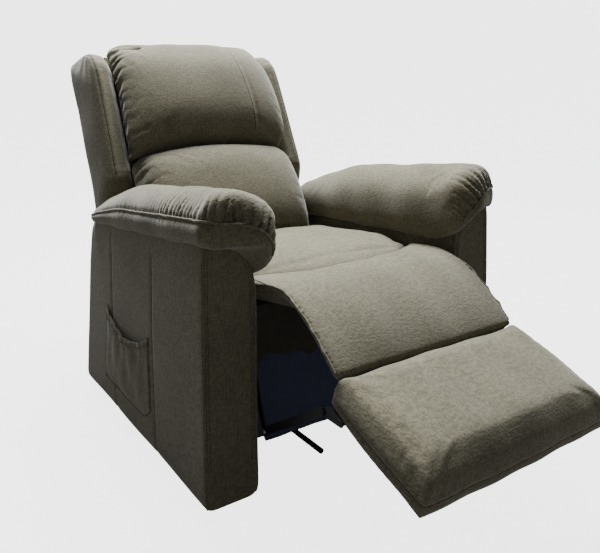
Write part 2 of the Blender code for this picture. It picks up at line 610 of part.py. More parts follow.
def build_back(fabric, wood, steel):
    top = BACK_LENGTH
    cushion_rear = 0.095
    back_slab("upper_back_cushion", fabric,
              [(LUMBAR_TOP + 0.004, -0.035), (LUMBAR_TOP + 0.085, -0.078), (top - 0.152, -0.072),
               (top - 0.032, -0.020), (top, 0.045), (top, cushion_rear), (LUMBAR_TOP + 0.004, cushion_rear)],
              (-BACK_HALF, BACK_HALF), 0.014)
    back_slab("lumbar_cushion", fabric,
              [(LUMBAR_BOTTOM, -0.095), (0.20, -0.105), (LUMBAR_TOP - 0.03, -0.065), (LUMBAR_TOP, -0.020),
               (LUMBAR_TOP, cushion_rear), (LUMBAR_BOTTOM, cushion_rear)],
              (-LUMBAR_HALF, LUMBAR_HALF), 0.014)
    board_half = LUMBAR_HALF + 0.006
    back_slab("back_frame", wood, [(0.03, 0.100), (top - 0.02, 0.100), (top - 0.02, 0.160), (0.03, 0.160)],
              (-board_half, board_half), 0.003, 1)
    back_slab("back_rear_cover", fabric,
              [(0.03, 0.175), (top - 0.004, 0.175),
               (top - 0.004, BACK_DEPTH - 0.006), (0.03, BACK_DEPTH - 0.006)],
              (-board_half, board_half), 0.010)
    for side, sign in SIDES:
        wing = [(WING_START, 0.0), (top - 0.122, 0.0), (top - 0.062, 0.020), (top - 0.030, 0.062),
                (top - 0.012, 0.150),
                (top - 0.012, BACK_DEPTH), (0.10, BACK_DEPTH), (0.12, 0.14), (0.20, 0.075)]
        back_slab(f"wing_{side}", fabric, wing, side_span(sign, BACK_HALF + 0.003, WING_OUTER), 0.014)
        bracket_outline = hull_outline([(*BACK_HINGE, 0.016), (*back_point(0.05, 0.115), 0.014),
                                        (*back_point(0.17, 0.130), 0.012)], 12)
        plate(f"back_bracket_{side}", "back", steel, bracket_outline,
              side_span(sign, BACK_BRACKET_X, BACK_BRACKET_X + STEEL),
              holes=((*BACK_HINGE, PIN_RADIUS + 0.002 + PIN_CLEARANCE),))
    lever = hull_outline([(*BACK_MOTOR_PIN, 0.011), (*back_point(0.012, 0.110), 0.010),
                          (*back_point(0.012, 0.150), 0.010)], 12)
    arm = prism("back_lever", "back", steel, lever, (BACK_MOTOR_X - LEVER_HALF, BACK_MOTOR_X + LEVER_HALF))
    foot = [back_point(0.018, 0.100), back_point(0.03 - TOUCH, 0.100),
            back_point(0.03 - TOUCH, 0.160), back_point(0.018, 0.160)]
    unite(arm, prism("lever_foot", "back", steel, foot, (BACK_MOTOR_X - 0.02, BACK_MOTOR_X + 0.02)))


# ---- footrest -----------------------------------------------------------------------------
def footrest_point(out, down):
    """(y, z) of a point out along the footrest from its crease and down through the pad."""
    tilt = math.radians(FOOTREST_TILT)
    return (FOOTREST_CREASE[0] - out * math.cos(tilt) + down * math.sin(tilt),
            FOOTREST_CREASE[1] - out * math.sin(tilt) - down * math.cos(tilt))


def build_footrest(fabric, wood, steel):
    half = FOOTREST_HALF
    under = FOOTREST_PAD + TOUCH
    lower = under + FOOTREST_BOARD
    prism("footrest_pad", "footrest", fabric,
          [footrest_point(*p) for p in ((0.006, 0.0), (FOOTREST_LENGTH - 0.012, 0.0),
                                        (FOOTREST_LENGTH, 0.012), (FOOTREST_LENGTH, FOOTREST_PAD),
                                        (0.006, FOOTREST_PAD))],
          (-half, half), 0.010)
    prism("footrest_board", "footrest", wood,
          [footrest_point(*p) for p in ((0.010, under), (FOOTREST_LENGTH - 0.006, under),
                                        (FOOTREST_LENGTH - 0.006, lower), (0.010, lower))],
          (-half + 0.004, half - 0.004), 0.002, 1)
    for side, sign in SIDES:
        outline = hull_outline([(*FOOTREST_PIN, 0.009), (*footrest_point(0.020, lower - 0.004), 0.007),
                                (*footrest_point(0.055, lower - 0.004), 0.006)], 12)
        bracket = plate(f"footrest_bracket_{side}", "footrest", steel, outline,
                        side_span(sign, FOOT_BRACKET_X, FOOT_BRACKET_X + LINK_STEEL),
                        studs=((*FOOTREST_PIN, PIN_RADIUS - 0.001,
                                sign * (CARRY_X + LINK_STEEL + PLATE_GAP / 2)),))
        for number, (reach, outer) in enumerate(((0.150, half - SEAT_SIDE_GAP),
                                                 (0.055, FOOT_BRACKET_X + LINK_STEEL / 2))):
            flange = [footrest_point(*p) for p in ((0.020, lower + TOUCH), (reach, lower + TOUCH),
                                                   (reach, lower + LINK_STEEL), (0.020, lower + LINK_STEEL))]
            unite(bracket, prism(f"flange_{side}_{number}", "footrest", steel, flange,
                                 side_span(sign, half - 0.040, outer)))
        swing = hull_outline([(*LINK_PIVOT, 0.009), (*LINK_KNEE, 0.009)], 12)
        plate(f"swing_link_{side}", "swing_links", steel, swing,
              side_span(sign, SWING_X, SWING_X + LINK_STEEL),
              holes=((*LINK_PIVOT, HOLE),),
              studs=((*LINK_KNEE, PIN_RADIUS - 0.001, sign * (CARRY_X - PLATE_GAP / 2)),))
        carry = hull_outline([(*LINK_KNEE, 0.009), (*FOOTREST_PIN, 0.009)], 12)
        plate(f"carry_link_{side}", "carry_links", steel, carry,
              side_span(sign, CARRY_X, CARRY_X + LINK_STEEL),
              holes=((*LINK_KNEE, HOLE - 0.001), (*FOOTREST_PIN, HOLE - 0.001)))


def build_chaise(fabric):
    """Bridging pad between the seat and the footrest; it bends when the footrest moves."""
    outline = [(SEAT_FRONT - 0.004, SEAT_HEIGHT - 0.002), (0.02, SEAT_HEIGHT + 0.002),
               (-0.05, SEAT_HEIGHT - 0.006), (-0.11, SEAT_HEIGHT - 0.034),
               (FOOTREST_CREASE[0] + 0.002, FOOTREST_CREASE[1] + 0.003),
               (FOOTREST_CREASE[0] + 0.024, FOOTREST_CREASE[1] - 0.046), (-0.08, 0.385), (0.0, 0.404),
               (SEAT_FRONT - 0.004, 0.404)]
    prism("chaise_pad", "chassis", fabric, outline, (-FOOTREST_HALF, FOOTREST_HALF), 0.010)


def build_chair():
    clear_scene()
    add_joint_empties()
    fabric = make_material("woven_fabric", (0.13, 0.12, 0.095), 0.95)
    border = make_material("border_cloth", (0.020, 0.020, 0.019), 0.95)
    curtain = make_material("dust_cloth", (0.010, 0.011, 0.018), 0.9)
    black_steel = make_material("black_steel", (0.02, 0.02, 0.022), 0.45, 0.6)
    plastic = make_material("black_plastic", (0.02, 0.02, 0.02), 0.5)
    wood = make_material("plywood", (0.42, 0.30, 0.18), 0.7)
    spring_steel = make_material("spring_steel", (0.35, 0.35, 0.36), 0.35, 1.0)
    rubber = make_material("glide_plastic", (0.03, 0.03, 0.03), 0.6)
    build_base(black_steel, rubber)
    build_lift_links(black_steel)
    build_actuator("lift_actuator", LIFT_MOTOR_PIVOT, LIFT_PIN, LIFT_MOTOR_X, "lift_motor", "lift_rod",
                   plastic, spring_steel, LIFT_ROD_INSIDE)
    build_chassis(black_steel, wood, spring_steel)
    build_seat(fabric, border, curtain)
    build_arms(fabric)
    build_pocket(fabric)
    build_control_box(plastic)
    build_actuator("back_actuator", BACK_MOTOR_PIVOT, BACK_MOTOR_PIN, BACK_MOTOR_X, "back_motor", "back_rod",
                   plastic, spring_steel, BACK_ROD_INSIDE)
    build_back(fabric, wood, black_steel)
    build_footrest(fabric, wood, black_steel)
    build_chaise(fabric)


build_chair()
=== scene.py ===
"""A lift recliner chair in a woven marl fabric, standing with its back tilted and its footrest up."""
import json
import math
import bmesh
import bpy
import numpy as np
from mathutils import Matrix, Vector
from mathutils.bvhtree import BVHTree

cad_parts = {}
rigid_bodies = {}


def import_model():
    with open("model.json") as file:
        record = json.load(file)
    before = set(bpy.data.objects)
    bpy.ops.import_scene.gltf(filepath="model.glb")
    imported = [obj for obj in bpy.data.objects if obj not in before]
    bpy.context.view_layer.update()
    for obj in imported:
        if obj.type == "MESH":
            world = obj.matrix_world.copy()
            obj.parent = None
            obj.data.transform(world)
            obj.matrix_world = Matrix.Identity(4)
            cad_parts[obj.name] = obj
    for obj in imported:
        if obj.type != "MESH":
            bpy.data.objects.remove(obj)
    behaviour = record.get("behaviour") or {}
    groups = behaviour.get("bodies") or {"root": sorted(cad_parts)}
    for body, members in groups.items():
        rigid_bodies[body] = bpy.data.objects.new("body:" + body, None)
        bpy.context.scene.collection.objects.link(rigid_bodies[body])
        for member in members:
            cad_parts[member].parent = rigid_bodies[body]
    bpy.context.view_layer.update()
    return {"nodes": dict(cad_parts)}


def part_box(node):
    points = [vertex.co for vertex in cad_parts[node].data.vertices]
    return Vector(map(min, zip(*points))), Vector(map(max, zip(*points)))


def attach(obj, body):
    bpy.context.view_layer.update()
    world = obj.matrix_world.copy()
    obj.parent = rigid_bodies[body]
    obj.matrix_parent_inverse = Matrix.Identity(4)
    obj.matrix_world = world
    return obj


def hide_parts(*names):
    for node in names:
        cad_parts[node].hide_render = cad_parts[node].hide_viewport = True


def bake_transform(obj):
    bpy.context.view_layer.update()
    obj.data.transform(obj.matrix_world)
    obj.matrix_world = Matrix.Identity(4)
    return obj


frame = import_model()
nodes = frame["nodes"]
scene = bpy.context.scene
for left_over in list(bpy.data.objects):
    if left_over.type == "MESH" and left_over.name not in nodes:
        bpy.data.objects.remove(left_over)

# ---- Camera -------------------------------------------------------------------------------
# It stands 1.17 m in front of the arms and outside the right one, 0.88 m up, and looks 5 degrees down.
front_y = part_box("arm_shell_right")[0].y       # the plane of the arms' fronts
camera = bpy.data.objects.new("camera", bpy.data.cameras.new("camera"))
scene.collection.objects.link(camera)
camera.location = (-0.972, front_y - 1.170, 0.883)
camera.rotation_euler = (math.radians(84.74), math.radians(0.30), math.radians(-34.55))
camera.data.sensor_width = 36.0
camera.data.lens = 40.4
camera.data.shift_x = -0.009
camera.data.shift_y = -0.219
scene.camera = camera


# ---- Studio -------------------------------------------------------------------------------
# A pale painted cove: a round floor that turns up into a wall all round, so that no edge shows.
# One large softbox hangs high behind the chair. A small one on its left and a weak fill in front are dimmer.
def linear(code):
    """Linear RGBA of an sRGB hex colour."""
    parts = [int(code[i:i + 2], 16) / 255 for i in (1, 3, 5)]
    return (*[c / 12.92 if c <= 0.04045 else ((c + 0.055) / 1.055) ** 2.4 for c in parts], 1.0)


def add(tree, kind, sockets=(), **settings):
    """Adds a node with its settings; each socket gets a value or a link."""
    made = tree.nodes.new(kind)
    for key, value in settings.items():
        setattr(made, key, value)
    for socket, value in dict(sockets).items():
        if isinstance(value, bpy.types.NodeSocket):
            tree.links.new(value, made.inputs[socket])
        else:
            made.inputs[socket].default_value = value
    return made


def new_material(name):
    """An empty material with its output node."""
    made = bpy.data.materials.new(name)
    made.use_nodes = True
    made.node_tree.nodes.clear()
    return made, made.node_tree


def end_material(tree, shader, height=None, strength=0.0, distance=0.0):
    """Joins a shader to the output, with a bump when a height is given."""
    if height is not None:
        bump = add(tree, "ShaderNodeBump", {"Height": height, "Strength": strength, "Distance": distance})
        tree.links.new(bump.outputs[0], shader.inputs["Normal"])
    add(tree, "ShaderNodeOutputMaterial", {"Surface": shader.outputs[0]})


def wear(name, material):
    """Gives a part of the frame one material."""
    nodes[name].data.materials.clear()
    nodes[name].data.materials.append(material)


def new_piece(name, bm, material):
    """Turns a bmesh into a smooth-shaded object at the origin."""
    mesh = bpy.data.meshes.new(name)
    bm.to_mesh(mesh)
    bm.free()
    mesh.materials.append(material)
    mesh.shade_smooth()
    made = bpy.data.objects.new(name, mesh)
    scene.collection.objects.link(made)
    return made


def ring_skin(rings, caps=True):
    """A skin over rings of equal count, closed at both ends unless caps is off."""
    bm = bmesh.new()
    rows = [[bm.verts.new(p) for p in ring] for ring in rings]
    count = len(rings[0])
    for near, far in zip(rows, rows[1:]):
        for i in range(count):
            j = (i + 1) % count
            bm.faces.new((near[i], near[j], far[j], far[i]))
    if caps:
        for row in (rows[0], rows[-1]):
            middle = bm.verts.new(sum((v.co for v in row), Vector()) / count)
            for i in range(count):
                bm.faces.new((row[i], row[(i + 1) % count], middle))
    bmesh.ops.recalc_face_normals(bm, faces=bm.faces)
    return bm


COVE_RADIUS = 7.0
COVE_BEND = 2.5
cove_paint, tree = new_material("matt_cove_paint")
grain = add(tree, "ShaderNodeTexNoise", {"Scale": 40.0, "Detail": 2.0})
paint = add(tree, "ShaderNodeBsdfPrincipled", {"Base Color": linear("#5c5c5b"), "Roughness": 0.9,
                                               "Emission Color": linear("#ffffff"), "Emission Strength": 3.4})
end_material(tree, paint, grain.outputs[0], 0.05, 0.001)
profile = [(0.001, 0.0), (2.0, 0.0), (COVE_RADIUS - COVE_BEND, 0.0)]
for step in range(1, 9):
    angle = math.radians(90 * step / 8)
    profile.append((COVE_RADIUS - COVE_BEND * (1 - math.sin(angle)), COVE_BEND * (1 - math.cos(angle))))
profile.append((COVE_RADIUS, 4.0))
cove_rings = []
for radius, height in profile:
    turn = [math.tau * i / 64 for i in range(64)]
    cove_rings.append([(radius * math.cos(a), radius * math.sin(a), height) for a in turn])
cove = new_piece("cove", ring_skin(cove_rings, caps=False), cove_paint)
cove.data.flip_normals()

for name, place, size, power, aim in (
        ("overhead_softbox", (0.35, 1.50, 3.6), 2.0, 690.0, (0.05, 0.0, 0.4)),
        ("left_softbox", (2.6, 0.2, 2.3), 1.4, 30.0, (0.0, 0.0, 0.5)),
        ("front_fill", (-1.4, -3.4, 2.2), 2.0, 2.5, (0.0, 0.0, 0.5))):
    lamp = bpy.data.objects.new(name, bpy.data.lights.new(name, "AREA"))
    lamp.data.size = size
    lamp.data.energy = power
    lamp.location = place
    lamp.rotation_euler = (Vector(aim) - Vector(place)).to_track_quat("-Z", "Y").to_euler()
    scene.collection.objects.link(lamp)
# The cove's paint is mid grey and its own glow makes it pale. Light linking keeps that glow off the chair, so
# the chair's sides stay darker than they would over a white floor, and its shadow on the floor is faint.
only_cove = bpy.data.collections.new("only_cove")
only_cove.objects.link(cove)
cove.light_linking.receiver_collection = only_cove
scene.world = bpy.data.worlds.new("studio")
scene.world.use_nodes = True
scene.world.node_tree.nodes["Background"].inputs["Color"].default_value = linear("#f2f4f7")
scene.world.node_tree.nodes["Background"].inputs["Strength"].default_value = 0.12


# ---- Base frame, lift links and side plates -----------------------------------------------
# Welded box tube and laser-cut plate, powder coated satin black: a faint orange peel and a soft gloss.
def coated_steel(name, colour, roughness):
    made, tree = new_material(name)
    place = add(tree, "ShaderNodeTexCoord")
    peel = add(tree, "ShaderNodeTexNoise", {"Vector": place.outputs["Object"], "Scale": 900.0})
    dust = add(tree, "ShaderNodeTexNoise", {"Vector": place.outputs["Object"], "Scale": 14.0, "Detail": 4.0})
    gloss = add(tree, "ShaderNodeMapRange", {"Value": dust.outputs[0], "To Min": roughness - 0.08,
                                             "To Max": roughness + 0.12})
    tint = add(tree, "ShaderNodeMix", {"Factor": dust.outputs[0], "A": linear(colour),
                                       "B": linear("#151514")}, data_type="RGBA")
    shader = add(tree, "ShaderNodeBsdfPrincipled", {"Base Color": tint.outputs["Result"],
                                                    "Roughness": gloss.outputs[0], "Metallic": 0.0})
    end_material(tree, shader, peel.outputs[0], 0.25, 0.0002)
    return made


powder_black = coated_steel("powder_coated_steel", "#12131a", 0.46)
for name in nodes:
    if name.startswith(("base_", "lift_bracket", "lift_link", "lift_cross", "lift_lug", "guide_link",
                        "side_plate", "chassis_", "swing_link", "carry_link", "footrest_bracket",
                        "back_bracket", "back_lever", "back_motor_hanger")):
        wear(name, powder_black)


# ---- Rivets and bolts ---------------------------------------------------------------------
# Zinc-plated rivets with low tapered heads hold the links, and hexagon bolts stand on the side plates.
# Zinc plate is pale, slightly blue and softly blurred.
def new_tree(name, inputs):
    """A Geometry Nodes tree with named inputs, and its input and output nodes."""
    made = bpy.data.node_groups.new(name, "GeometryNodeTree")
    made.interface.new_socket("Geometry", in_out="INPUT", socket_type="NodeSocketGeometry")
    for label, kind, value in inputs:
        made.interface.new_socket(label, in_out="INPUT", socket_type=kind).default_value = value
    made.interface.new_socket("Geometry", in_out="OUTPUT", socket_type="NodeSocketGeometry")
    return made, add(made, "NodeGroupInput").outputs, add(made, "NodeGroupOutput").inputs


def polyline(name, runs):
    """An object of plain edges through each run of points."""
    mesh = bpy.data.meshes.new(name)
    points, edges = [], []
    for run in runs:
        edges += [(len(points) + i, len(points) + i + 1) for i in range(len(run) - 1)]
        points += [tuple(p) for p in run]
    mesh.from_pydata(points, edges, [])
    made = bpy.data.objects.new(name, mesh)
    scene.collection.objects.link(made)
    return made


def grow(piece, tree, **sizes):
    """Runs a tree on a piece with the given inputs, and keeps the result as a plain mesh."""
    modifier = piece.modifiers.new("grow", "NODES")
    modifier.node_group = tree
    for socket in tree.interface.items_tree:
        if socket.in_out == "INPUT" and socket.name in sizes:
            modifier[socket.identifier] = sizes[socket.name]
    graph = bpy.context.evaluated_depsgraph_get()
    mesh = bpy.data.meshes.new_from_object(piece.evaluated_get(graph), depsgraph=graph)
    piece.modifiers.clear()
    piece.data = mesh
    return piece


def plated(name, colour, roughness):
    made, tree = new_material(name)
    place = add(tree, "ShaderNodeTexCoord")
    cloud = add(tree, "ShaderNodeTexNoise", {"Vector": place.outputs["Object"], "Scale": 120.0,
                                             "Detail": 3.0})
    gloss = add(tree, "ShaderNodeMapRange", {"Value": cloud.outputs[0], "To Min": roughness - 0.07,
                                             "To Max": roughness + 0.10})
    tint = add(tree, "ShaderNodeMix", {"Factor": cloud.outputs[0], "A": linear(colour),
                                       "B": linear("#8f9296")}, data_type="RGBA")
    shader = add(tree, "ShaderNodeBsdfPrincipled", {"Base Color": tint.outputs["Result"],
                                                    "Roughness": gloss.outputs[0], "Metallic": 1.0})
    end_material(tree, shader)
    return made


zinc = plated("zinc_plated_steel", "#b9bcc0", 0.34)
rivet_tree, given, result = new_tree("rivet_heads", [
    ("Radius", "NodeSocketFloat", 0.007), ("Height", "NodeSocketFloat", 0.003),
    ("Sides", "NodeSocketInt", 14), ("Turn", "NodeSocketFloat", 0.0), ("Finish", "NodeSocketMaterial", None)])
head = add(rivet_tree, "GeometryNodeMeshCone", {
    "Vertices": given["Sides"], "Side Segments": 2, "Fill Segments": 1, "Radius Bottom": given["Radius"],
    "Depth": given["Height"]})
narrow = add(rivet_tree, "ShaderNodeMath", {0: given["Radius"], 1: 0.55}, operation="MULTIPLY")
rivet_tree.links.new(narrow.outputs[0], head.inputs["Radius Top"])
lean = add(rivet_tree, "ShaderNodeCombineXYZ", {"Y": given["Turn"]})
placed = add(rivet_tree, "GeometryNodeInstanceOnPoints", {
    "Points": given["Geometry"], "Instance": head.outputs["Mesh"], "Rotation": lean.outputs[0]})
solid = add(rivet_tree, "GeometryNodeRealizeInstances", {0: placed.outputs[0]})
coat = add(rivet_tree, "GeometryNodeSetMaterial", {"Geometry": solid.outputs[0], "Material": given["Finish"]})
rivet_tree.links.new(coat.outputs[0], result["Geometry"])


def rivets(name, body, x, places, radius, sides=14):
    """Low heads on both sides of the chair, facing out, at (y, z) places behind the arms' fronts."""
    for side, sign in (("left", 1), ("right", -1)):
        mesh = bpy.data.meshes.new(name)
        mesh.from_pydata([(sign * x, front_y + y, z) for y, z in places], [], [])
        heads = bpy.data.objects.new(f"{name}_{side}", mesh)
        scene.collection.objects.link(heads)
        grow(heads, rivet_tree, Radius=radius, Sides=sides, Turn=sign * math.pi / 2, Finish=zinc)
        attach(heads, body)


# The pivots' places repeat those of the links that they hold.
rivets("lift_pivot_rivets", "base", 0.2518, [(0.165, 0.070), (0.186, 0.089)], 0.0075)
rivets("knee_rivets", "swing_links", 0.2685, [(0.015, 0.143)], 0.0070)
rivets("seat_bolts", "chassis", 0.2740, [(0.13, 0.363), (0.30, 0.363), (0.46, 0.363)], 0.0080, 6)


# ---- Seat rails and springs ---------------------------------------------------------------
# Planed plywood rails carry sinuous springs of bright drawn wire, bent cold and clipped at their ends.
# The ply shows a straight, warm grain with darker plies on its edges.
def plywood(name, pale, dark):
    made, tree = new_material(name)
    place = add(tree, "ShaderNodeTexCoord")
    along = add(tree, "ShaderNodeMapping", {"Vector": place.outputs["Object"], "Scale": (6.0, 90.0, 90.0)})
    grain = add(tree, "ShaderNodeTexNoise", {"Vector": along.outputs[0], "Scale": 1.0, "Detail": 6.0,
                                             "Distortion": 0.6})
    tint = add(tree, "ShaderNodeMix", {"Factor": grain.outputs[0], "A": linear(pale), "B": linear(dark)},
               data_type="RGBA")
    shader = add(tree, "ShaderNodeBsdfPrincipled", {"Base Color": tint.outputs["Result"], "Roughness": 0.62})
    end_material(tree, shader, grain.outputs[0], 0.3, 0.0004)
    return made


rail_ply = plywood("birch_plywood", "#b89262", "#8a6238")
for name in ("seat_front_rail", "seat_rear_rail", "footrest_board"):
    wear(name, rail_ply)
drawn_wire = plated("drawn_spring_wire", "#8d8f92", 0.30)
for name in nodes:
    if name.startswith("seat_spring") or name.endswith("actuator_rod"):
        wear(name, drawn_wire)


# ---- Actuators, control box and glides ----------------------------------------------------
# The motor housings and the control box are moulded in black ABS with a fine spark-eroded texture.
# The glides are black polypropylene, a little duller and scuffed where they stand on the floor.
def moulded(name, colour, roughness, grain_mm):
    made, tree = new_material(name)
    place = add(tree, "ShaderNodeTexCoord")
    grain = add(tree, "ShaderNodeTexNoise", {"Vector": place.outputs["Object"], "Scale": 1000.0 / grain_mm})
    scuff = add(tree, "ShaderNodeTexNoise", {"Vector": place.outputs["Object"], "Scale": 30.0, "Detail": 5.0})
    gloss = add(tree, "ShaderNodeMapRange", {"Value": scuff.outputs[0], "To Min": roughness - 0.1,
                                             "To Max": roughness + 0.1})
    shader = add(tree, "ShaderNodeBsdfPrincipled", {"Base Color": linear(colour),
                                                    "Roughness": gloss.outputs[0]})
    end_material(tree, shader, grain.outputs[0], 0.35, 0.0002)
    return made


black_abs = moulded("textured_black_abs", "#161617", 0.48, 0.8)
glide_pp = moulded("black_polypropylene", "#1b1b1b", 0.62, 1.2)
for name in nodes:
    if name.endswith("actuator_housing") or name == "control_box":
        wear(name, black_abs)
    if name.startswith("glide_"):
        wear(name, glide_pp)


# ---- Covers: how the padded parts are cut, filled and sewn ----------------------------------
# Every cover is one woven polyester marl: dark and pale yarns crossed, so it reads as a mottled grey-brown.
# It is matt, with a slight bloom at grazing angles, and its slubs run both ways.
def woven(name, pale, dark, bloom=0.25):
    made, tree = new_material(name)
    place = add(tree, "ShaderNodeTexCoord")
    # Three noises drawn out along the height, across and along the depth: some 3 mm wide and 13 mm long each.
    fine, slub = 1 / 0.0023, 1 / 0.009
    upright = add(tree, "ShaderNodeMapping", {"Vector": place.outputs["Object"], "Scale": (fine, fine, slub)})
    level = add(tree, "ShaderNodeMapping", {"Vector": place.outputs["Object"], "Scale": (slub, slub, fine)})
    forward = add(tree, "ShaderNodeMapping", {"Vector": place.outputs["Object"], "Scale": (fine, slub, fine)})
    yarns = [add(tree, "ShaderNodeTexNoise", {"Vector": way.outputs[0], "Scale": 0.7, "Detail": 2.0})
             for way in (upright, level, forward)]
    crossed = add(tree, "ShaderNodeMath", {0: yarns[0].outputs[0], 1: yarns[1].outputs[0]}, operation="ADD")
    crossed = add(tree, "ShaderNodeMath", {0: crossed.outputs[0], 1: yarns[2].outputs[0]}, operation="ADD")
    weave = add(tree, "ShaderNodeMapRange", {"Value": crossed.outputs[0], "From Min": 1.24, "From Max": 1.76})
    wear = add(tree, "ShaderNodeTexNoise", {"Vector": place.outputs["Object"], "Scale": 7.0, "Detail": 3.0})
    shade = add(tree, "ShaderNodeMapRange", {"Value": wear.outputs[0], "From Min": 0.3, "From Max": 0.7,
                                             "To Min": 0.90, "To Max": 1.08})
    tint = add(tree, "ShaderNodeMix", {"Factor": weave.outputs[0], "A": linear(dark), "B": linear(pale)},
               data_type="RGBA")
    toned = add(tree, "ShaderNodeVectorMath", {0: tint.outputs["Result"], 3: shade.outputs[0]},
                operation="SCALE")
    shader = add(tree, "ShaderNodeBsdfPrincipled", {
        "Base Color": toned.outputs[0], "Roughness": 0.92, "Sheen Weight": bloom, "Sheen Roughness": 0.45,
        "Specular IOR Level": 0.25})
    end_material(tree, shader, weave.outputs[0], 0.45, 0.0006)
    return made


marl = woven("woven_polyester_marl", "#65614f", "#4d4a3b")
thread = woven("sewing_thread", "#3a382f", "#24231d", 0.0)


def between(a, b, c, d, parts):
    """Points of a smooth line from b up to c, led in from a and out to d."""
    return [0.5 * (2 * b + (c - a) * t + (2 * a - 5 * b + 4 * c - d) * t * t
                   + (3 * b - a - 3 * c + d) * t ** 3) for t in (k / parts for k in range(parts))]


def closed_ring(points, per_side=4):
    """A smooth closed ring through the given (a, b) points."""
    p = np.array(points, float)
    out = []
    for i in range(len(p)):
        out += between(p[i - 1], p[i], p[(i + 1) % len(p)], p[(i + 2) % len(p)], per_side)
    return [tuple(q) for q in out]


def points_of(piece, kind="co"):
    """The piece's points, or their normals, as rows of x, y and z."""
    data = np.empty(len(piece.data.vertices) * 3)
    piece.data.vertices.foreach_get(kind, data)
    return data.reshape(-1, 3)


def move_points(piece, points):
    piece.data.vertices.foreach_set("co", np.ascontiguousarray(points, float).ravel())
    piece.data.update()


def push_out(piece, distance):
    """Moves each point along its own normal."""
    move_points(piece, points_of(piece) + points_of(piece, "normal") * distance[:, None])


def mirrored(piece, name):
    """A copy of the piece on the chair's other side."""
    made = bpy.data.objects.new(name, piece.data.copy())
    scene.collection.objects.link(made)
    made.data.transform(Matrix.Scale(-1, 4, (1, 0, 0)))
    made.data.flip_normals()
    return made


def finish_modifier(piece):
    """Keeps what the live modifiers make as the piece's own mesh."""
    graph = bpy.context.evaluated_depsgraph_get()
    mesh = bpy.data.meshes.new_from_object(piece.evaluated_get(graph), depsgraph=graph)
    piece.modifiers.clear()
    piece.data = mesh
    mesh.shade_smooth()


def finer(piece, levels):
    """Splits each face into four, levels times, and rounds the piece."""
    rounder = piece.modifiers.new("finer", "SUBSURF")
    rounder.levels = rounder.render_levels = levels
    finish_modifier(piece)


def thicken(piece, thickness, offset=0.0):
    """Gives a cloth its thickness: centred on it at offset 0, and behind its face at -1."""
    thick = piece.modifiers.new("thick", "SOLIDIFY")
    thick.thickness = thickness
    thick.offset = offset
    finish_modifier(piece)


def dense(run, step=0.004):
    """The same path with points about a step apart."""
    run = np.array(run, float)
    legs = np.linalg.norm(np.diff(run, axis=0), axis=1)
    far = np.concatenate([[0.0], np.cumsum(legs)])
    want = np.linspace(0.0, far[-1], max(2, int(far[-1] / step)))
    return np.stack([np.interp(want, far, run[:, k]) for k in range(3)], axis=1)


def nearest(points, run):
    """Distance of each point from a path, and how far along the path it is nearest."""
    best = np.full(len(points), 1e9)
    where = np.zeros(len(points))
    far = np.concatenate([[0.0], np.cumsum(np.linalg.norm(np.diff(run, axis=0), axis=1))])
    for spot, length in zip(run, far):
        away = np.linalg.norm(points - spot, axis=1)
        closer = away < best
        best[closer] = away[closer]
        where[closer] = length
    return best, where


def puff(piece, voxel, swell, held):
    """Evens the case's mesh, fills it under pressure with its seams held, and rounds it once more."""
    even = piece.modifiers.new("even", "REMESH")
    even.mode = "VOXEL"
    even.voxel_size = voxel
    finish_modifier(piece)
    rest = points_of(piece)
    pinned = np.zeros(len(rest), bool)
    for run, reach in held:
        pinned |= nearest(rest, dense(run))[0] < reach
    group = piece.vertex_groups.new(name="held")
    group.add([int(i) for i in np.nonzero(pinned)[0]], 1.0, "REPLACE")
    fill = piece.modifiers.new("fill", "CLOTH")
    fill.settings.use_pressure = True
    fill.settings.uniform_pressure_force = 4.0
    fill.settings.effector_weights.gravity = 0.0
    fill.settings.vertex_group_mass = "held"
    fill.point_cache.frame_end = 20
    for number in range(1, 21):
        scene.frame_set(number)
    graph = bpy.context.evaluated_depsgraph_get()
    filled = points_of(piece.evaluated_get(graph))
    piece.modifiers.clear()
    scene.frame_set(1)
    move = filled - rest
    length = np.linalg.norm(move, axis=1, keepdims=True)
    move *= swell * np.tanh(length / swell) / np.maximum(length, 1e-9)
    move_points(piece, rest + move)
    piece.vertex_groups.clear()
    smooth = piece.modifiers.new("settle", "SMOOTH")
    smooth.factor = 0.5
    smooth.iterations = 3
    finish_modifier(piece)
    finer(piece, 1)


def crease(piece, run, depth, width):
    """Draws the cover in along a seam."""
    away = nearest(points_of(piece), dense(run))[0]
    push_out(piece, -depth * np.exp(-(away / width) ** 2))


def gathers(piece, run, pitch, depth, reach, above=None):
    """Small folds where a cover is eased onto a shorter seam; they run square to it and fade out."""
    points = points_of(piece)
    run = dense(run)
    away, along = nearest(points, run)
    phase = math.tau * along / pitch + 1.4 * np.sin(along * 41.0) + 0.9 * np.sin(along * 97.0 + 1.0)
    share = np.exp(-(away / reach) ** 2) * (0.65 + 0.35 * np.sin(along * 23.0 + 2.0))
    fold = depth * share * (np.abs(np.cos(phase / 2)) ** 0.7 - 0.75)
    if above is not None:
        fold = fold * above(points)
    push_out(piece, fold)


def on_surface(piece, run, lift=0.0):
    """A path laid on the piece's skin."""
    graph = bpy.context.evaluated_depsgraph_get()
    tree = BVHTree.FromObject(piece, graph)
    laid = []
    for spot in dense(run):
        place, normal, _, _ = tree.find_nearest(Vector(spot))
        laid.append(place + normal * lift)
    laid = np.array([tuple(p) for p in laid])
    for _ in range(3):
        laid[1:-1] = (laid[:-2] + 2 * laid[1:-1] + laid[2:]) / 4
    return laid


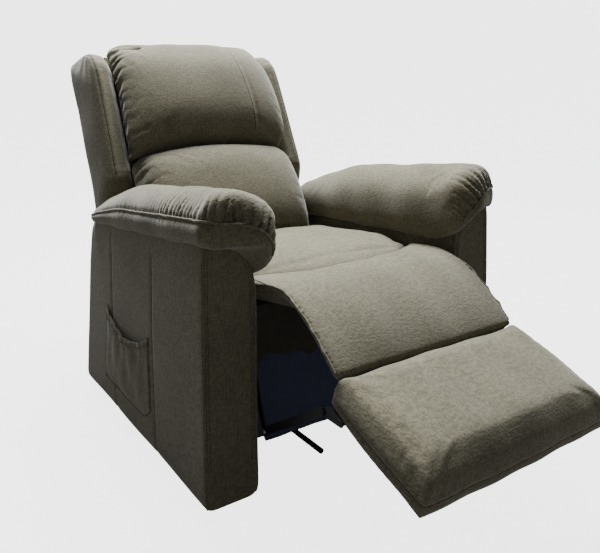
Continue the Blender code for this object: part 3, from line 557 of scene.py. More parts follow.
# Piping is a strip of the cover wrapped round a cord; a plain seam shows only as a thin sunk line of thread.
# Top stitches are 4 mm long with a 2 mm gap, in two rows 6 mm apart.
run_tree, given, result = new_tree("run_of_piping", [
    ("Radius", "NodeSocketFloat", 0.003), ("Sides", "NodeSocketInt", 8),
    ("Finish", "NodeSocketMaterial", None)])
line = add(run_tree, "GeometryNodeMeshToCurve", {"Mesh": given["Geometry"]})
section = add(run_tree, "GeometryNodeCurvePrimitiveCircle", {"Resolution": given["Sides"],
                                                             "Radius": given["Radius"]})
tube = add(run_tree, "GeometryNodeCurveToMesh", {
    "Curve": line.outputs[0], "Profile Curve": section.outputs[0], "Fill Caps": True})
even = add(run_tree, "GeometryNodeSetShadeSmooth", {"Geometry": tube.outputs[0]})
solid = add(run_tree, "GeometryNodeRealizeInstances", {0: even.outputs[0]})
coat = add(run_tree, "GeometryNodeSetMaterial", {"Geometry": solid.outputs[0], "Material": given["Finish"]})
run_tree.links.new(coat.outputs[0], result["Geometry"])

stitch_tree, given, result = new_tree("row_of_stitches", [
    ("Pitch", "NodeSocketFloat", 0.006), ("Length", "NodeSocketFloat", 0.004),
    ("Radius", "NodeSocketFloat", 0.0006), ("Finish", "NodeSocketMaterial", None)])
line = add(stitch_tree, "GeometryNodeMeshToCurve", {"Mesh": given["Geometry"]})
spaced = add(stitch_tree, "GeometryNodeResampleCurve", {"Curve": line.outputs[0], "Length": given["Pitch"]},
             mode="LENGTH")
heading = add(stitch_tree, "GeometryNodeInputTangent")
turned = add(stitch_tree, "FunctionNodeAlignRotationToVector", {"Vector": heading.outputs[0]}, axis="Z")
one = add(stitch_tree, "GeometryNodeMeshCylinder", {
    "Vertices": 6, "Side Segments": 1, "Radius": given["Radius"], "Depth": given["Length"]})
placed = add(stitch_tree, "GeometryNodeInstanceOnPoints", {
    "Points": spaced.outputs[0], "Instance": one.outputs["Mesh"], "Rotation": turned.outputs[0]})
solid = add(stitch_tree, "GeometryNodeRealizeInstances", {0: placed.outputs[0]})
coat = add(stitch_tree, "GeometryNodeSetMaterial", {
    "Geometry": solid.outputs[0], "Material": given["Finish"]})
stitch_tree.links.new(coat.outputs[0], result["Geometry"])


def piping(name, runs, radius, finish):
    made = polyline(name, runs)
    return grow(made, run_tree, Radius=radius, Finish=finish)


def stitches(name, runs, finish=thread):
    made = polyline(name, runs)
    return grow(made, stitch_tree, Finish=finish)


# ---- Arms ---------------------------------------------------------------------------------
# A chipboard box wrapped in thin foam and the cover fabric. Its front panel is cut to an arch with two rows
# of top stitching, and two plain seams run down each outer side.
SIDES = (("right", -1.0), ("left", 1.0))
arm_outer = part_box("arm_shell_left")[1].x
arm_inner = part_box("arm_shell_left")[0].x
arm_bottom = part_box("arm_shell_left")[0].z
arm_depth_top, arm_depth_floor = 0.700, 0.790
OUTER_EDGE_HEIGHT, OUTER_EDGE_FALL = 0.568, 0.068      # at the arm's front, and how far it falls to the rear
INNER_EDGE_HEIGHT, INNER_EDGE_FALL = 0.482, 0.030
SEAM_PLACES = (0.262, 0.536)                           # behind the arm's front
STITCH_INSETS = (0.008, 0.014)                         # in from the front panel's edge
seat_top, seat_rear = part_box("seat_cushion")[1].z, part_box("seat_cushion")[1].y - front_y


def arm_edge(y):
    """Height of an arm's outer top edge, y behind its front."""
    return OUTER_EDGE_HEIGHT - OUTER_EDGE_FALL * min(max(y, 0.0), arm_depth_top) / arm_depth_top


def arm_inner_edge(y):
    return INNER_EDGE_HEIGHT - INNER_EDGE_FALL * min(max(y, 0.0), arm_depth_top) / arm_depth_top


def arm_section(share, sign, inset=0.0):
    """One section of an arm cover, from the front at share 0 to the leaning rear edge at 1."""
    top_y, low_y = arm_depth_top * share, arm_depth_floor * share
    outer, inner = arm_edge(top_y), arm_inner_edge(top_y)
    out_x, in_x = arm_outer - inset, arm_inner + inset
    spots = [(out_x, arm_bottom + inset)]
    for k in range(1, 12):
        z = arm_bottom + (outer - 0.014 - arm_bottom) * k / 12
        bulge = 0.0022 * math.sin(math.pi * k / 12)
        spots.append((out_x + bulge, z))
    spots.append((out_x, outer - 0.010 - inset))
    for k in range(1, 12):
        t = k / 12
        arch = math.sqrt(max(0.0, 1 - t ** 2.4))
        spots.append((out_x - 0.004 - (out_x - in_x - 0.006) * t,
                      inner + (outer + 0.018 - inner) * arch - inset))
    spots.append((in_x, inner - 0.012))
    for k in range(1, 12):
        spots.append((in_x, inner - 0.012 + (arm_bottom + inset - inner + 0.012) * k / 12))
    spots.append((in_x, arm_bottom + inset))
    for k in range(1, 4):
        spots.append((in_x + (out_x - in_x) * k / 4, arm_bottom + inset))
    ring = []
    for x, z in spots:
        lean = (z - arm_bottom) / (outer - arm_bottom)
        ring.append((sign * x, front_y + low_y + (top_y - low_y) * min(max(lean, 0.0), 1.0), z))
    return ring


def arm_front_path(inset, sign, y=0.0):
    """Round the front panel, inset from its edge, from the outer foot over the arch to the inner foot."""
    ring = arm_section(0.0, sign, inset)[0:37]
    return [(x, front_y + y, z) for x, _, z in ring]


for side, sign in SIDES:
    shares = [0.0, 0.0, *[0.006 + 0.988 * k / 40 for k in range(41)], 1.0, 1.0]
    insets = [0.012, 0.003, *[0.0] * 41, 0.003, 0.012]
    sections = [arm_section(s, sign, i) for s, i in zip(shares, insets)]
    arm_cover = new_piece(f"arm_cover_{side}", ring_skin(sections), marl)
    finer(arm_cover, 2)
    side_seams = [[(sign * arm_outer, front_y + y, z) for z in (0.020, 0.25, 0.50)] for y in SEAM_PLACES]
    for seam in side_seams:
        crease(arm_cover, seam, 0.0022, 0.0075)
    skin = points_of(arm_cover)
    waves = 0.0011 * np.sin(skin[:, 1] * 17 + 1.3 * np.sin(skin[:, 2] * 9)) * np.sin(skin[:, 2] * 11 + 2)
    push_out(arm_cover, waves)
    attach(arm_cover, "chassis")
    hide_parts(f"arm_shell_{side}")
    sunk = [on_surface(arm_cover, seam, -0.0002) for seam in side_seams]
    side_line = piping(f"arm_side_seams_{side}", sunk, 0.0010, thread)
    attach(side_line, "chassis")
    edge_run = [on_surface(arm_cover, arm_front_path(0.0, sign, 0.001), 0.0004)]
    edge_line = piping(f"arm_front_welt_{side}", edge_run, 0.0018, marl)
    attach(edge_line, "chassis")
    rows = [on_surface(arm_cover, arm_front_path(inset, sign, -0.001)[2:-2], 0.0004)
            for inset in STITCH_INSETS]
    front_stitches = stitches(f"arm_front_stitches_{side}", rows)
    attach(front_stitches, "chassis")


# ---- Arm pads -----------------------------------------------------------------------------
# A fibre-filled pad is sewn over each arm: a top panel gathered onto piping, and a plain border below it.
# The filling slumps over the arm's inner side, and the front is drawn in to a narrow rounded nose.
pad_rear, pad_nose = 0.684, 0.070


def pad_section(y, sign, shrink=0.0):
    base = arm_edge(y)
    front = min(1.0, max(0.0, 0.5 - y / 0.12))
    inner = arm_inner_edge(y) - 0.006 + 0.044 * front
    nose = max(0.0, -y) / pad_nose
    full = math.sqrt(max(0.02, 1 - nose ** 2.2))
    drawn_in = max(0.03, 1 - nose ** 1.5) ** 0.75
    tail = min(1.0, max(0.0, (y - 0.42) / (pad_rear - 0.42)))
    high = 1 - 0.50 * tail ** 1.5
    out, inn = arm_outer + 0.012, arm_inner - 0.028 - 0.010 * front
    middle = (out + inn) / 2
    centre_x = middle + (inn + 0.050 - middle) * min(1.0, nose * 3)
    centre_z = base + 0.024 - 0.020 * nose
    spots = [(arm_outer - 0.002, base - 0.006), (out - 0.001, base + 0.008),
             (out + 0.002, base + 0.030 * high),
             (out - 0.004, base + 0.052 * high), (out - 0.014, base + 0.080 * high),
             (out - 0.036, base + 0.102 * high), (middle + 0.012, base + 0.112 * high),
             (inn + 0.050, base + 0.106 * high), (inn + 0.016, base + 0.084 * high),
             (inn - 0.001, base + 0.052 * high), (inn - 0.003, inner + 0.046), (inn + 0.006, inner + 0.012),
             (arm_inner - 0.006, inner - 0.004), (arm_inner + 0.024, inner + 0.024),
             (arm_inner + 0.070, base - 0.014)]
    ring = []
    for x, z in closed_ring(spots, 4):
        narrow = drawn_in if x > centre_x else full
        x, z = centre_x + (x - centre_x) * narrow, centre_z + (z - centre_z) * full
        away = math.hypot(x - centre_x, z - centre_z)
        pull = 1 - shrink / max(away, shrink * 1.5)
        ring.append((sign * (centre_x + (x - centre_x) * pull), front_y + y,
                     centre_z + (z - centre_z) * pull))
    return ring


def pad_path(sign, number):
    """A line along the pad through one point of every section."""
    return [pad_section(y, sign)[number] for y in pad_stations]


pad_stations = [-pad_nose * s for s in (0.995, 0.95, 0.86, 0.72, 0.52, 0.28)] + [
    pad_rear * k / 20 for k in range(20)] + [pad_rear - 0.010, pad_rear]
piping_spot = 12
piping_run = pad_path(-1.0, piping_spot)
# The piping leaves the side, crosses the front of the nose and runs down to its lowest, innermost point.
nose_run = [(-arm_outer + out, front_y - pad_nose * ahead, arm_edge(0.0) + up)
            for out, ahead, up in ((0.030, 0.72, 0.046), (0.062, 0.90, 0.046), (0.092, 0.98, 0.036),
                                   (0.118, 0.96, 0.016), (0.134, 0.86, -0.008), (0.141, 0.66, -0.032))]
side_run = [spot for spot in reversed(piping_run) if spot[1] > front_y - 0.02]
pad_seam = side_run + nose_run
pad_foot = pad_path(-1.0, 0)
pad_inner_foot = pad_path(-1.0, 48)
pad_rings = [pad_section(y, -1.0, 0.006) for y in pad_stations]
pad_case = new_piece("arm_pad_cover_right", ring_skin(pad_rings), marl)
puff(pad_case, 0.006, 0.012, [(pad_seam, 0.006), (pad_foot, 0.008), (pad_inner_foot, 0.010)])
crease(pad_case, pad_seam, 0.004, 0.008)


def over_piping(points):
    """The share of the gathers at each point: none on the border, most towards the nose."""
    y = points[:, 1] - front_y
    side_line = np.interp(y, [p[1] - front_y for p in piping_run], [p[2] for p in piping_run])
    nose_line = np.interp(points[:, 0], [p[0] for p in nose_run], [p[2] for p in nose_run])
    line = np.where(y < -0.02, nose_line, side_line)
    return (points[:, 2] > line) * np.clip(1.05 - (y + 0.02) / 0.32, 0.0, 1.0)


gathers(pad_case, pad_seam, 0.017, 0.0115, 0.058, over_piping)
gathers(pad_case, pad_seam, 0.026, 0.0018, 0.020)
skin = points_of(pad_case)
rumple = (0.0022 * np.sin(skin[:, 1] * 31 + 2 * np.sin(skin[:, 0] * 40))
          * np.sin(skin[:, 0] * 37 + skin[:, 1] * 9))
push_out(pad_case, rumple)
other_pad = mirrored(pad_case, "arm_pad_cover_left")
for side, pad, sign in (("right", pad_case, 1), ("left", other_pad, -1)):
    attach(pad, "chassis")
    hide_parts(f"arm_pad_{side}")
    seam = [(sign * x, y, z) for x, y, z in pad_seam]
    pad_piping = piping(f"arm_pad_piping_{side}", [on_surface(pad, seam, 0.0012)], 0.0026, marl)
    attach(pad_piping, "chassis")


# ---- Side pocket --------------------------------------------------------------------------
# An open magazine pocket of the cover fabric, eased on to the right arm and top-stitched along three sides.
# Its mouth has a turned hem, and it sags and puckers because nothing stiffens it.
pocket_low, pocket_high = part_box("side_pocket")
pocket_columns, pocket_rows = 72, 40
hem_height = 0.020


def pocket_spot(u, v, lift=0.0):
    """A point of the pocket: u runs from front to rear and v from its bottom up to its mouth."""
    front, rear = pocket_low.y + 0.004, pocket_high.y - 0.004 - 0.034 * v
    y = front + (rear - front) * u
    bottom = pocket_low.z + 0.030 * max(0.0, 1 - u / 0.16) ** 1.6 + 0.010 * max(0.0, u - 0.7)
    mouth = pocket_high.z - 0.044 * math.sin(math.pi * min(1.0, u * 1.02)) ** 0.8
    z = bottom + (mouth - bottom) * v
    middle = math.sin(math.pi * u) ** 0.55
    bag = (0.0015 + 0.0095 * middle * (0.25 + 0.75 * v)) * min(1.0, v * 9)
    folds = (0.0020 * math.sin(u * 34 + 3.0 * v) * v + 0.0018 * math.sin(u * 15 - 7 * v + 1.0)) * middle
    tuck = 0.0016 * math.sin(u * 88 + 2 * math.sin(u * 19)) * max(0.0, v - 0.72) / 0.28 * middle
    reach = max(0.0008, bag + folds + tuck)
    return (-(arm_outer + 0.0018 + reach + lift), y, z)


def cloth_grid(spot, columns, rows):
    """A flat net of faces; spot(u, v) places each point, with u and v both from 0 to 1."""
    bm = bmesh.new()
    grid = [[bm.verts.new(spot(i / columns, j / rows)) for i in range(columns + 1)] for j in range(rows + 1)]
    for near, far in zip(grid, grid[1:]):
        for i in range(columns):
            bm.faces.new((near[i + 1], near[i], far[i], far[i + 1]))
    return bm


pocket_cloth = new_piece("side_pocket_cloth", cloth_grid(pocket_spot, pocket_columns, pocket_rows), marl)
thicken(pocket_cloth, 0.0016, -1.0)
hem_start = 1 - hem_height / (pocket_high.z - pocket_low.z)
hem_grid = cloth_grid(lambda u, v: pocket_spot(u, hem_start + (1 - hem_start) * v, 0.0012), pocket_columns, 6)
pocket_hem = new_piece("side_pocket_hem", hem_grid, marl)
thicken(pocket_hem, 0.0018)
hem_line = [[pocket_spot(i / 60, hem_start + 0.02, 0.0026) for i in range(61)]]
sides_line = [[pocket_spot(0.012, 1 - j / 30, 0.0008) for j in range(31)] +
              [pocket_spot(i / 60, 0.012, 0.0008) for i in range(1, 60)] +
              [pocket_spot(0.988, j / 30, 0.0008) for j in range(31)]]
pocket_stitches = stitches("side_pocket_stitches", hem_line + sides_line)
for part in (pocket_cloth, pocket_hem, pocket_stitches):
    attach(part, "chassis")
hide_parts("side_pocket")


# ---- Seat border and dust curtain ---------------------------------------------------------
# The border is a strip of dark lining that hangs loose from the front seat rail, so that the footrest links
# can swing. The curtain behind it is a navy spunbond, thermally dimpled, that hides the lift frame.
def lining(name, pale, dark, dimple_mm, strength):
    made, tree = new_material(name)
    place = add(tree, "ShaderNodeTexCoord")
    dimple = add(tree, "ShaderNodeTexVoronoi", {"Vector": place.outputs["Object"], "Scale": 1000 / dimple_mm,
                                                "Randomness": 0.25})
    cloud = add(tree, "ShaderNodeTexNoise", {"Vector": place.outputs["Object"], "Scale": 60.0, "Detail": 5.0})
    tint = add(tree, "ShaderNodeMix", {"Factor": cloud.outputs[0], "A": linear(dark), "B": linear(pale)},
               data_type="RGBA")
    shader = add(tree, "ShaderNodeBsdfPrincipled", {"Base Color": tint.outputs["Result"], "Roughness": 0.85,
                                                    "Specular IOR Level": 0.3})
    end_material(tree, shader, dimple.outputs["Distance"], strength, 0.0005)
    return made


def hung_cloth(name, box_of, foot, sway, finish):
    """A strip hung from its top edge. foot(x) is how far its hem rises, and sway how deep its folds are."""
    low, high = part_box(box_of)

    def spot(u, v):
        x = low.x + (high.x - low.x) * u
        hem = low.z + foot(x)
        fold = sway * v * (math.sin(u * 21 + 1.2 * math.sin(u * 7)) + 0.5 * math.sin(u * 47 + 2 * v))
        return (x, (low.y + high.y) / 2 + fold, high.z + (hem - high.z) * v)

    made = new_piece(name, cloth_grid(spot, 90, 36), finish)
    thicken(made, 0.0014)
    return made


border_lining = lining("dark_grey_lining", "#45423a", "#2f2d27", 1.4, 0.4)
spunbond = lining("navy_spunbond", "#4b4e69", "#3a3d54", 2.2, 0.6)


def border_hem(x):
    return 0.010 * math.sin(x * 31 + 1) + 0.005 * math.sin(x * 83)


def curtain_hem(x):
    """The curtain's hem is caught up at its right corner."""
    return 0.014 if x < -0.195 else 0.0


seat_border = hung_cloth("seat_border_cloth", "seat_front_border", border_hem, 0.0050, border_lining)
curtain = hung_cloth("dust_curtain_cloth", "dust_curtain", curtain_hem, 0.0010, spunbond)
for cloth, node, slot, size in ((seat_border, "seat_front_border", "border_cloth", (0.492, 0.130)),
                                (curtain, "dust_curtain", "dust_cloth", (0.500, 0.303))):
    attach(cloth, "chassis")
    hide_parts(node)


# ---- Seat ---------------------------------------------------------------------------------
# A polyurethane foam block with a fibre wrap, in a cover whose top meets the leg pad along a curved seam.
# It is slightly crowned, and lower along the rear, where the back cushion presses on it.
def pillow(name, x_from, x_to, face, under, rim, stations=28):
    """A padded case made of sections at stations across the chair.

    face(x) and under(x) are equally long runs of (y, z) points. The sections shrink within rim of each end.
    """
    rings = []
    for k in range(stations + 1):
        x = x_from + (x_to - x_from) * (0.5 - 0.5 * math.cos(math.pi * k / stations))
        edge = min(x - x_from, x_to - x)
        round_off = math.sqrt(max(0.03, 1 - max(0.0, 1 - edge / rim) ** 2))
        over, below = face(x), under(x)
        ring = []
        for a, b in [*zip(over, below), *reversed([*zip(below, over)])]:
            middle = ((a[0] + b[0]) / 2, (a[1] + b[1]) / 2)
            ring.append((x, front_y + middle[0] + (a[0] - middle[0]) * round_off,
                         middle[1] + (a[1] - middle[1]) * round_off))
        rings.append(ring)
    return new_piece(name, ring_skin(rings), marl)


def smooth_run(points, count):
    """count points evenly along a smooth line through the given (a, b) points."""
    p = np.array(points, float)
    p = np.vstack([2 * p[0] - p[1], p, 2 * p[-1] - p[-2]])
    out = []
    for i in range(1, len(p) - 2):
        a, b, c, d = p[i - 1:i + 3]
        out += between(a, b, c, d, 8)
    out.append(p[-2])
    out = np.array(out)
    far = np.concatenate([[0.0], np.cumsum(np.linalg.norm(np.diff(out, axis=0), axis=1))])
    want = np.linspace(0, far[-1], count)
    return [(np.interp(w, far, out[:, 0]), np.interp(w, far, out[:, 1])) for w in want]


seat_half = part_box("seat_cushion")[1].x
seat_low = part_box("seat_cushion")[0].z
leg_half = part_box("footrest_pad")[1].x + 0.009
rest_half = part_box("footrest_pad")[1].x + 0.005


def seat_seam_y(x):
    """Where the seat meets the leg pad: the seam bows forward in the middle."""
    return 0.082 + 0.080 * (x / seat_half) ** 2


def seat_face(x):
    crown = 0.010 * (1 - (x / seat_half) ** 2)
    start = seat_seam_y(x)
    spots = [(start, 0.395), (start - 0.004, 0.425), (start + 0.002, 0.446),
             (start + 0.030, seat_top - 0.008), (0.24, seat_top - 0.006 + crown),
             (0.40, seat_top - 0.014 + crown), (0.53, seat_top - 0.026 + crown * 0.5),
             (seat_rear - 0.002, seat_top - 0.040)]
    return smooth_run(spots, 34)


def seat_under(x):
    return smooth_run([(seat_seam_y(x) + 0.004, 0.389), (0.30, seat_low), (seat_rear - 0.004, seat_low)], 34)


seat = pillow("seat_cushion_cover", -seat_half + 0.003, seat_half - 0.003, seat_face, seat_under, 0.030)
seat_seam = [(x, front_y + seat_seam_y(x) + 0.001, 0.449) for x in np.linspace(-0.272, 0.272, 30)]
seat_foot = [(x, front_y + seat_seam_y(x), 0.392) for x in np.linspace(-0.28, 0.28, 30)]
puff(seat, 0.008, 0.008, [(seat_seam, 0.008), (seat_foot, 0.014)])
skin = points_of(seat)
dips = (0.0020 * np.sin(skin[:, 0] * 13 + 1.1) * np.sin(skin[:, 1] * 15)
        + 0.0010 * np.sin(skin[:, 0] * 39 + skin[:, 1] * 22))
push_out(seat, dips)
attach(seat, "chassis")
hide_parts("seat_cushion")


# ---- Leg pad and footrest -----------------------------------------------------------------
# The leg pad is a foam-filled apron sewn to the seat and to the footrest.
# The footrest is a foam pad on a plywood board, both in one boxed cover with a seam round its border.
def leg_face(x):
    start = seat_seam_y(x) - 0.002
    crown = 0.004 * (1 - (x / leg_half) ** 2)
    spots = [(start, 0.447), (start - 0.020, 0.456 + crown), (0.030, 0.463 + crown), (-0.020, 0.464 + crown),
             (-0.062, 0.455 + crown), (-0.106, 0.433 + crown), (-0.150, 0.403 + crown),
             (-0.190, 0.370 + crown), (-0.210, 0.352), (-0.216, 0.341)]
    return smooth_run(spots, 44)


def leg_under(x):
    start = seat_seam_y(x) - 0.002
    spots = [(start, 0.405), (0.0, 0.404), (-0.070, 0.392), (-0.120, 0.366), (-0.170, 0.328), (-0.194, 0.304)]
    return smooth_run(spots, 44)


leg_pad = pillow("leg_pad_cover", -leg_half, leg_half, leg_face, leg_under, 0.010)
leg_rim = [[(side * leg_half, front_y + y, z) for y, z in leg_face(side * leg_half)[2:-1]]
           for side in (-0.985, 0.985)]
top_seam = [(x, front_y + seat_seam_y(x) - 0.002, 0.447) for x in np.linspace(-0.272, 0.272, 30)]
low_seam = [(x, front_y - 0.214, 0.343) for x in np.linspace(-0.25, 0.25, 30)]
skin = points_of(leg_pad)
over = np.interp(skin[:, 1] - front_y, *zip(*sorted(leg_face(0.0))))
skin[:, 0] *= 1 - 0.17 * np.clip((over - skin[:, 2] - 0.006) / 0.050, 0.0, 1.0)
skin[:, 0] *= 1 + 0.09 * np.clip((skin[:, 1] - front_y + 0.01) / 0.07, 0.0, 1.0)
move_points(leg_pad, skin)
puff(leg_pad, 0.007, 0.007, [(top_seam, 0.010), (low_seam, 0.010), (leg_rim[0], 0.006), (leg_rim[1], 0.006)])
for rim_run in leg_rim:
    crease(leg_pad, rim_run, 0.0015, 0.006)
skin = points_of(leg_pad)
dips = (0.0016 * np.sin(skin[:, 0] * 11 + 0.4) * np.sin(skin[:, 1] * 19 + 1)
        + 0.0009 * np.sin(skin[:, 0] * 43 + skin[:, 1] * 12))
push_out(leg_pad, dips)
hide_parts("chaise_pad")
leg_welt = piping("leg_pad_edge_welt", [on_surface(leg_pad, run, 0.0006) for run in leg_rim], 0.0022, marl)
seam_run = [(x, y + 0.001, z) for x, y, z in top_seam]
seam_line = piping("seat_seam_thread", [on_surface(leg_pad, seam_run, 0.0008)], 0.0020, thread)
for part in (leg_pad, leg_welt):
    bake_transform(part)
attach(seam_line, "chassis")

rest_tilt = math.radians(20.0)
rest_length = 0.268
crease_y, crease_z = -0.214, 0.348


def rest_spot(out, down):
    return (crease_y - out * math.cos(rest_tilt) + down * math.sin(rest_tilt),
            crease_z - out * math.sin(rest_tilt) - down * math.cos(rest_tilt))


def rest_face(x):
    crown = 0.006 * (1 - (x / rest_half) ** 2)
    spots = [(0.000, 0.012), (0.006, 0.003), (0.030, -0.003 - crown), (0.130, -0.006 - crown),
             (0.225, -0.003 - crown), (rest_length - 0.016, 0.004), (rest_length - 0.003, 0.018),
             (rest_length, 0.046), (rest_length - 0.001, 0.072)]
    return smooth_run([rest_spot(*s) for s in spots], 44)


def rest_under(x):
    spots = [(0.002, 0.040), (0.006, 0.072), (0.060, 0.078), (0.160, 0.078), (rest_length - 0.006, 0.077)]
    return smooth_run([rest_spot(*s) for s in spots], 44)


rest = pillow("footrest_cover", -rest_half, rest_half, rest_face, rest_under, 0.009)
border_down = 0.050
border_run = [(-rest_half, 0.004), (-rest_half, rest_length - 0.006), (-rest_half + 0.010, rest_length),
              (rest_half - 0.010, rest_length), (rest_half, rest_length - 0.006), (rest_half, 0.004)]


def round_border(down):
    """The border's run round the footrest, down from its top."""
    spots = [(x, rest_spot(out, down)) for x, out in border_run]
    return [(x, front_y + y, z) for x, (y, z) in spots]


border_seam = round_border(border_down)
foot_edge = round_border(0.076)
puff(rest, 0.007, 0.007, [(border_seam, 0.006), (foot_edge, 0.012)])
crease(rest, border_seam, 0.0030, 0.006)
skin = points_of(rest)
dips = (0.0016 * np.sin(skin[:, 0] * 15 + 2.0) * np.sin(skin[:, 1] * 21)
        + 0.0008 * np.sin(skin[:, 0] * 51 + skin[:, 1] * 17))
push_out(rest, dips)
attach(rest, "footrest")
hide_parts("footrest_pad", "footrest_board")
rest_welt = piping("footrest_border_welt", [on_surface(rest, border_seam, 0.0004)], 0.0014, marl)
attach(rest_welt, "footrest")


# ---- Back ---------------------------------------------------------------------------------
# Two fibre-filled bags, head over lumbar, hang in front of a plywood frame between padded wings. Both bags
# are gathered down their sides, and the head bag is tucked in four places along its right side.
wear("back_frame", marl)
back_tilt = math.radians(27.0)
hinge_y, hinge_z = 0.615, 0.365
wing_inner, wing_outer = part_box("wing_left")[0].x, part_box("wing_left")[1].x
bag_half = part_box("upper_back_cushion")[1].x


def back_spot(along, behind):
    return (hinge_y + along * math.sin(back_tilt) + behind * math.cos(back_tilt),
            hinge_z + along * math.cos(back_tilt) - behind * math.sin(back_tilt))


def back_place(x, along, behind):
    y, z = back_spot(along, behind)
    return (x, front_y + y, z)


def bag_edge(x):
    """How far up the back the two bags meet: higher in the middle."""
    return 0.330 + 0.026 * (1 - (x / bag_half) ** 2)


def head_face(x):
    side = (abs(x) / bag_half) ** 4
    low = bag_edge(x) + 0.003
    spots = [(low + 0.004, 0.030), (low + 0.002, 0.000), (low + 0.010, -0.030 + 0.016 * side),
             (low + 0.045, -0.066 + 0.030 * side), (low + 0.130, -0.078 + 0.034 * side),
             (low + 0.240, -0.066 + 0.030 * side), (0.665, -0.040 + 0.022 * side),
             (0.722, -0.004 + 0.016 * side), (0.750 - 0.010 * side, 0.040), (0.752 - 0.014 * side, 0.084)]
    return smooth_run([back_spot(*s) for s in spots], 52)


def head_under(x):
    low = bag_edge(x) + 0.003
    return smooth_run([back_spot(*s) for s in ((low + 0.008, 0.060), (low + 0.02, 0.092), (0.55, 0.094),
                                               (0.735, 0.094))], 52)


head_bag = pillow("head_cushion_cover", -bag_half + 0.004, bag_half - 0.004, head_face, head_under, 0.040, 34)
head_sides = []
for side in (-1, 1):
    path = [back_place(side * (bag_half - 0.004), s, t) for s, t in
            ((0.352, 0.000), (0.40, 0.000), (0.50, 0.002), (0.60, 0.008), (0.68, 0.024), (0.73, 0.050))]
    head_sides.append(path)
head_bottom = [back_place(x, bag_edge(x) + 0.006, 0.008) for x in np.linspace(-bag_half, bag_half, 40)]
head_seam = [back_place(x, s, t) for x, s, t in (
    (0.146, 0.372, -0.062), (0.143, 0.43, -0.078), (0.140, 0.52, -0.074), (0.136, 0.62, -0.056),
    (0.132, 0.70, -0.018), (0.130, 0.745, 0.030))]
puff(head_bag, 0.008, 0.012, [(head_sides[0], 0.008), (head_sides[1], 0.008), (head_bottom, 0.008)])
crease(head_bag, head_seam, 0.0035, 0.008)
gathers(head_bag, head_sides[0], 0.034, 0.0085, 0.046)
gathers(head_bag, head_sides[1], 0.046, 0.0050, 0.030)
gathers(head_bag, head_bottom, 0.060, 0.0030, 0.040)
tucks = [[back_place(-0.262, 0.700, 0.020), back_place(-0.235, 0.712, -0.002),
          back_place(-0.175, 0.700, -0.020)],
         [back_place(-0.262, 0.728, 0.040), back_place(-0.245, 0.742, 0.020)],
         [back_place(-0.258, 0.52, -0.004), back_place(-0.225, 0.50, -0.040)],
         [back_place(-0.256, 0.375, -0.004), back_place(-0.205, 0.408, -0.058)]]
for tuck, depth in zip(tucks, (0.012, 0.009, 0.0045, 0.005)):
    crease(head_bag, tuck, depth, 0.007)
skin = points_of(head_bag)
ahead = -((skin[:, 1] - front_y - hinge_y) * math.cos(back_tilt)
          - (skin[:, 2] - hinge_z) * math.sin(back_tilt))
spread = 1 + 0.085 * np.clip((ahead + 0.012) / 0.045, 0, 1) ** 1.5
skin[:, 0] *= spread
move_points(head_bag, skin)
dips = (0.0026 * np.sin(skin[:, 0] * 17 + 0.6) * np.sin(skin[:, 2] * 13)
        + 0.0012 * np.sin(skin[:, 0] * 47 + 1.5 * np.sin(skin[:, 2] * 11)))
push_out(head_bag, dips)
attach(head_bag, "back")
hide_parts("upper_back_cushion")
head_thread = piping("head_cushion_seam", [on_surface(head_bag, head_seam, -0.0002)], 0.0010, thread)
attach(head_thread, "back")

lumbar_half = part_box("lumbar_cushion")[1].x + 0.012


def lumbar_face(x):
    side = (abs(x) / lumbar_half) ** 4
    top = bag_edge(x) - 0.002
    spots = [(0.000, 0.010), (0.000, -0.060), (0.030, -0.098 + 0.020 * side), (0.100, -0.116 + 0.030 * side),
             (0.200, -0.112 + 0.034 * side), (top - 0.055, -0.092 + 0.036 * side),
             (top - 0.016, -0.052 + 0.026 * side), (top - 0.001, -0.016), (top, 0.024)]
    return smooth_run([back_spot(*s) for s in spots], 46)


def lumbar_under(x):
    top = bag_edge(x) - 0.002
    return smooth_run([back_spot(*s) for s in ((0.010, 0.060), (0.10, 0.094), (top - 0.03, 0.094),
                                               (top - 0.004, 0.070))], 46)


lumbar_bag = pillow("lumbar_cushion_cover", -lumbar_half, lumbar_half, lumbar_face, lumbar_under, 0.040, 32)
lumbar_sides = []
for side in (-1, 1):
    path = [back_place(side * (lumbar_half - 0.002), s, t) for s, t in
            ((0.04, -0.030), (0.12, -0.040), (0.22, -0.036), (0.30, -0.014))]
    lumbar_sides.append(path)
lumbar_top = [back_place(x, bag_edge(x) - 0.003, 0.004) for x in np.linspace(-lumbar_half, lumbar_half, 40)]
puff(lumbar_bag, 0.008, 0.010, [(lumbar_sides[0], 0.008), (lumbar_sides[1], 0.008), (lumbar_top, 0.008)])
gathers(lumbar_bag, lumbar_sides[0], 0.030, 0.0080, 0.040)
gathers(lumbar_bag, lumbar_sides[1], 0.040, 0.0045, 0.028)
skin = points_of(lumbar_bag)
dips = 0.0020 * np.sin(skin[:, 0] * 14 + 2.6) * np.sin(skin[:, 2] * 18 + 1)
push_out(lumbar_bag, dips)
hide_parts("lumbar_cushion")
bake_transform(lumbar_bag)


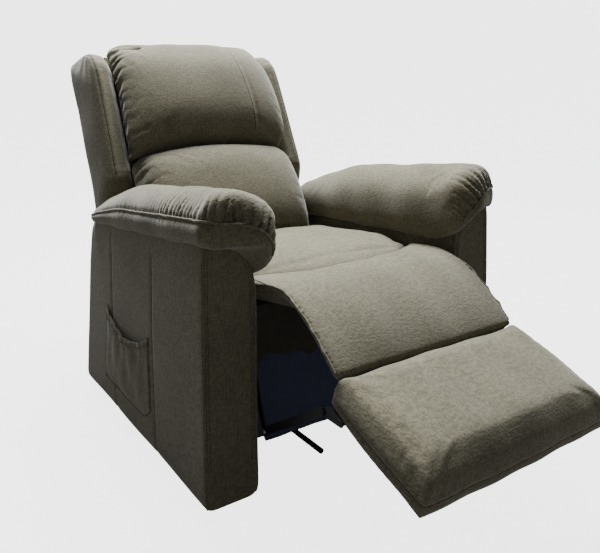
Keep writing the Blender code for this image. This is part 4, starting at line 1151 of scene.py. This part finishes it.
def wing_face(x):
    spots = [(0.115, 0.150), (0.150, 0.110), (0.205, 0.066), (0.270, 0.012), (0.330, 0.002), (0.480, 0.000),
             (0.620, 0.000), (0.676, 0.014), (0.715, 0.050), (0.735, 0.100), (0.742, 0.150)]
    return smooth_run([back_spot(*s) for s in spots], 50)


def wing_under(x):
    spots = [(0.110, 0.200), (0.120, 0.216), (0.300, 0.220), (0.620, 0.220), (0.730, 0.218), (0.740, 0.200)]
    return smooth_run([back_spot(*s) for s in spots], 50)


wing = pillow("wing_cover_right", -wing_outer + 0.002, -wing_inner + 0.009, wing_face, wing_under, 0.026, 18)
wing_seam = [back_place(-wing_outer + 0.024, s, t) for s, t in
             ((0.29, 0.006), (0.40, 0.000), (0.55, -0.001), (0.64, 0.002), (0.69, 0.022), (0.724, 0.066),
              (0.742, 0.130), (0.744, 0.190))]
puff(wing, 0.006, 0.006, [(wing_seam, 0.006)])
crease(wing, wing_seam, 0.0030, 0.006)
skin = points_of(wing)
dips = 0.0014 * np.sin(skin[:, 2] * 23 + 1) * np.sin(skin[:, 1] * 19)
push_out(wing, dips)
other_wing = mirrored(wing, "wing_cover_left")
for side, cover, sign in (("right", wing, 1), ("left", other_wing, -1)):
    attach(cover, "back")
    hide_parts(f"wing_{side}")
    seam = on_surface(cover, [(sign * x, y, z) for x, y, z in wing_seam], 0.0)
    wing_thread = piping(f"wing_seam_{side}", [seam], 0.0011, thread)
    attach(wing_thread, "back")

rear_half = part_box("back_rear_cover")[1].x + 0.014


def rear_face(x):
    spots = [(0.02, 0.196), (0.20, 0.176), (0.50, 0.174), (0.742, 0.190)]
    return smooth_run([back_spot(*s) for s in spots], 30)


def rear_under(x):
    spots = [(0.022, 0.206), (0.20, 0.217), (0.50, 0.218), (0.744, 0.206)]
    return smooth_run([back_spot(*s) for s in spots], 30)


rear_panel = pillow("rear_panel_cover", -rear_half, rear_half, rear_face, rear_under, 0.012, 30)
finer(rear_panel, 2)
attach(rear_panel, "back")
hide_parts("back_rear_cover")
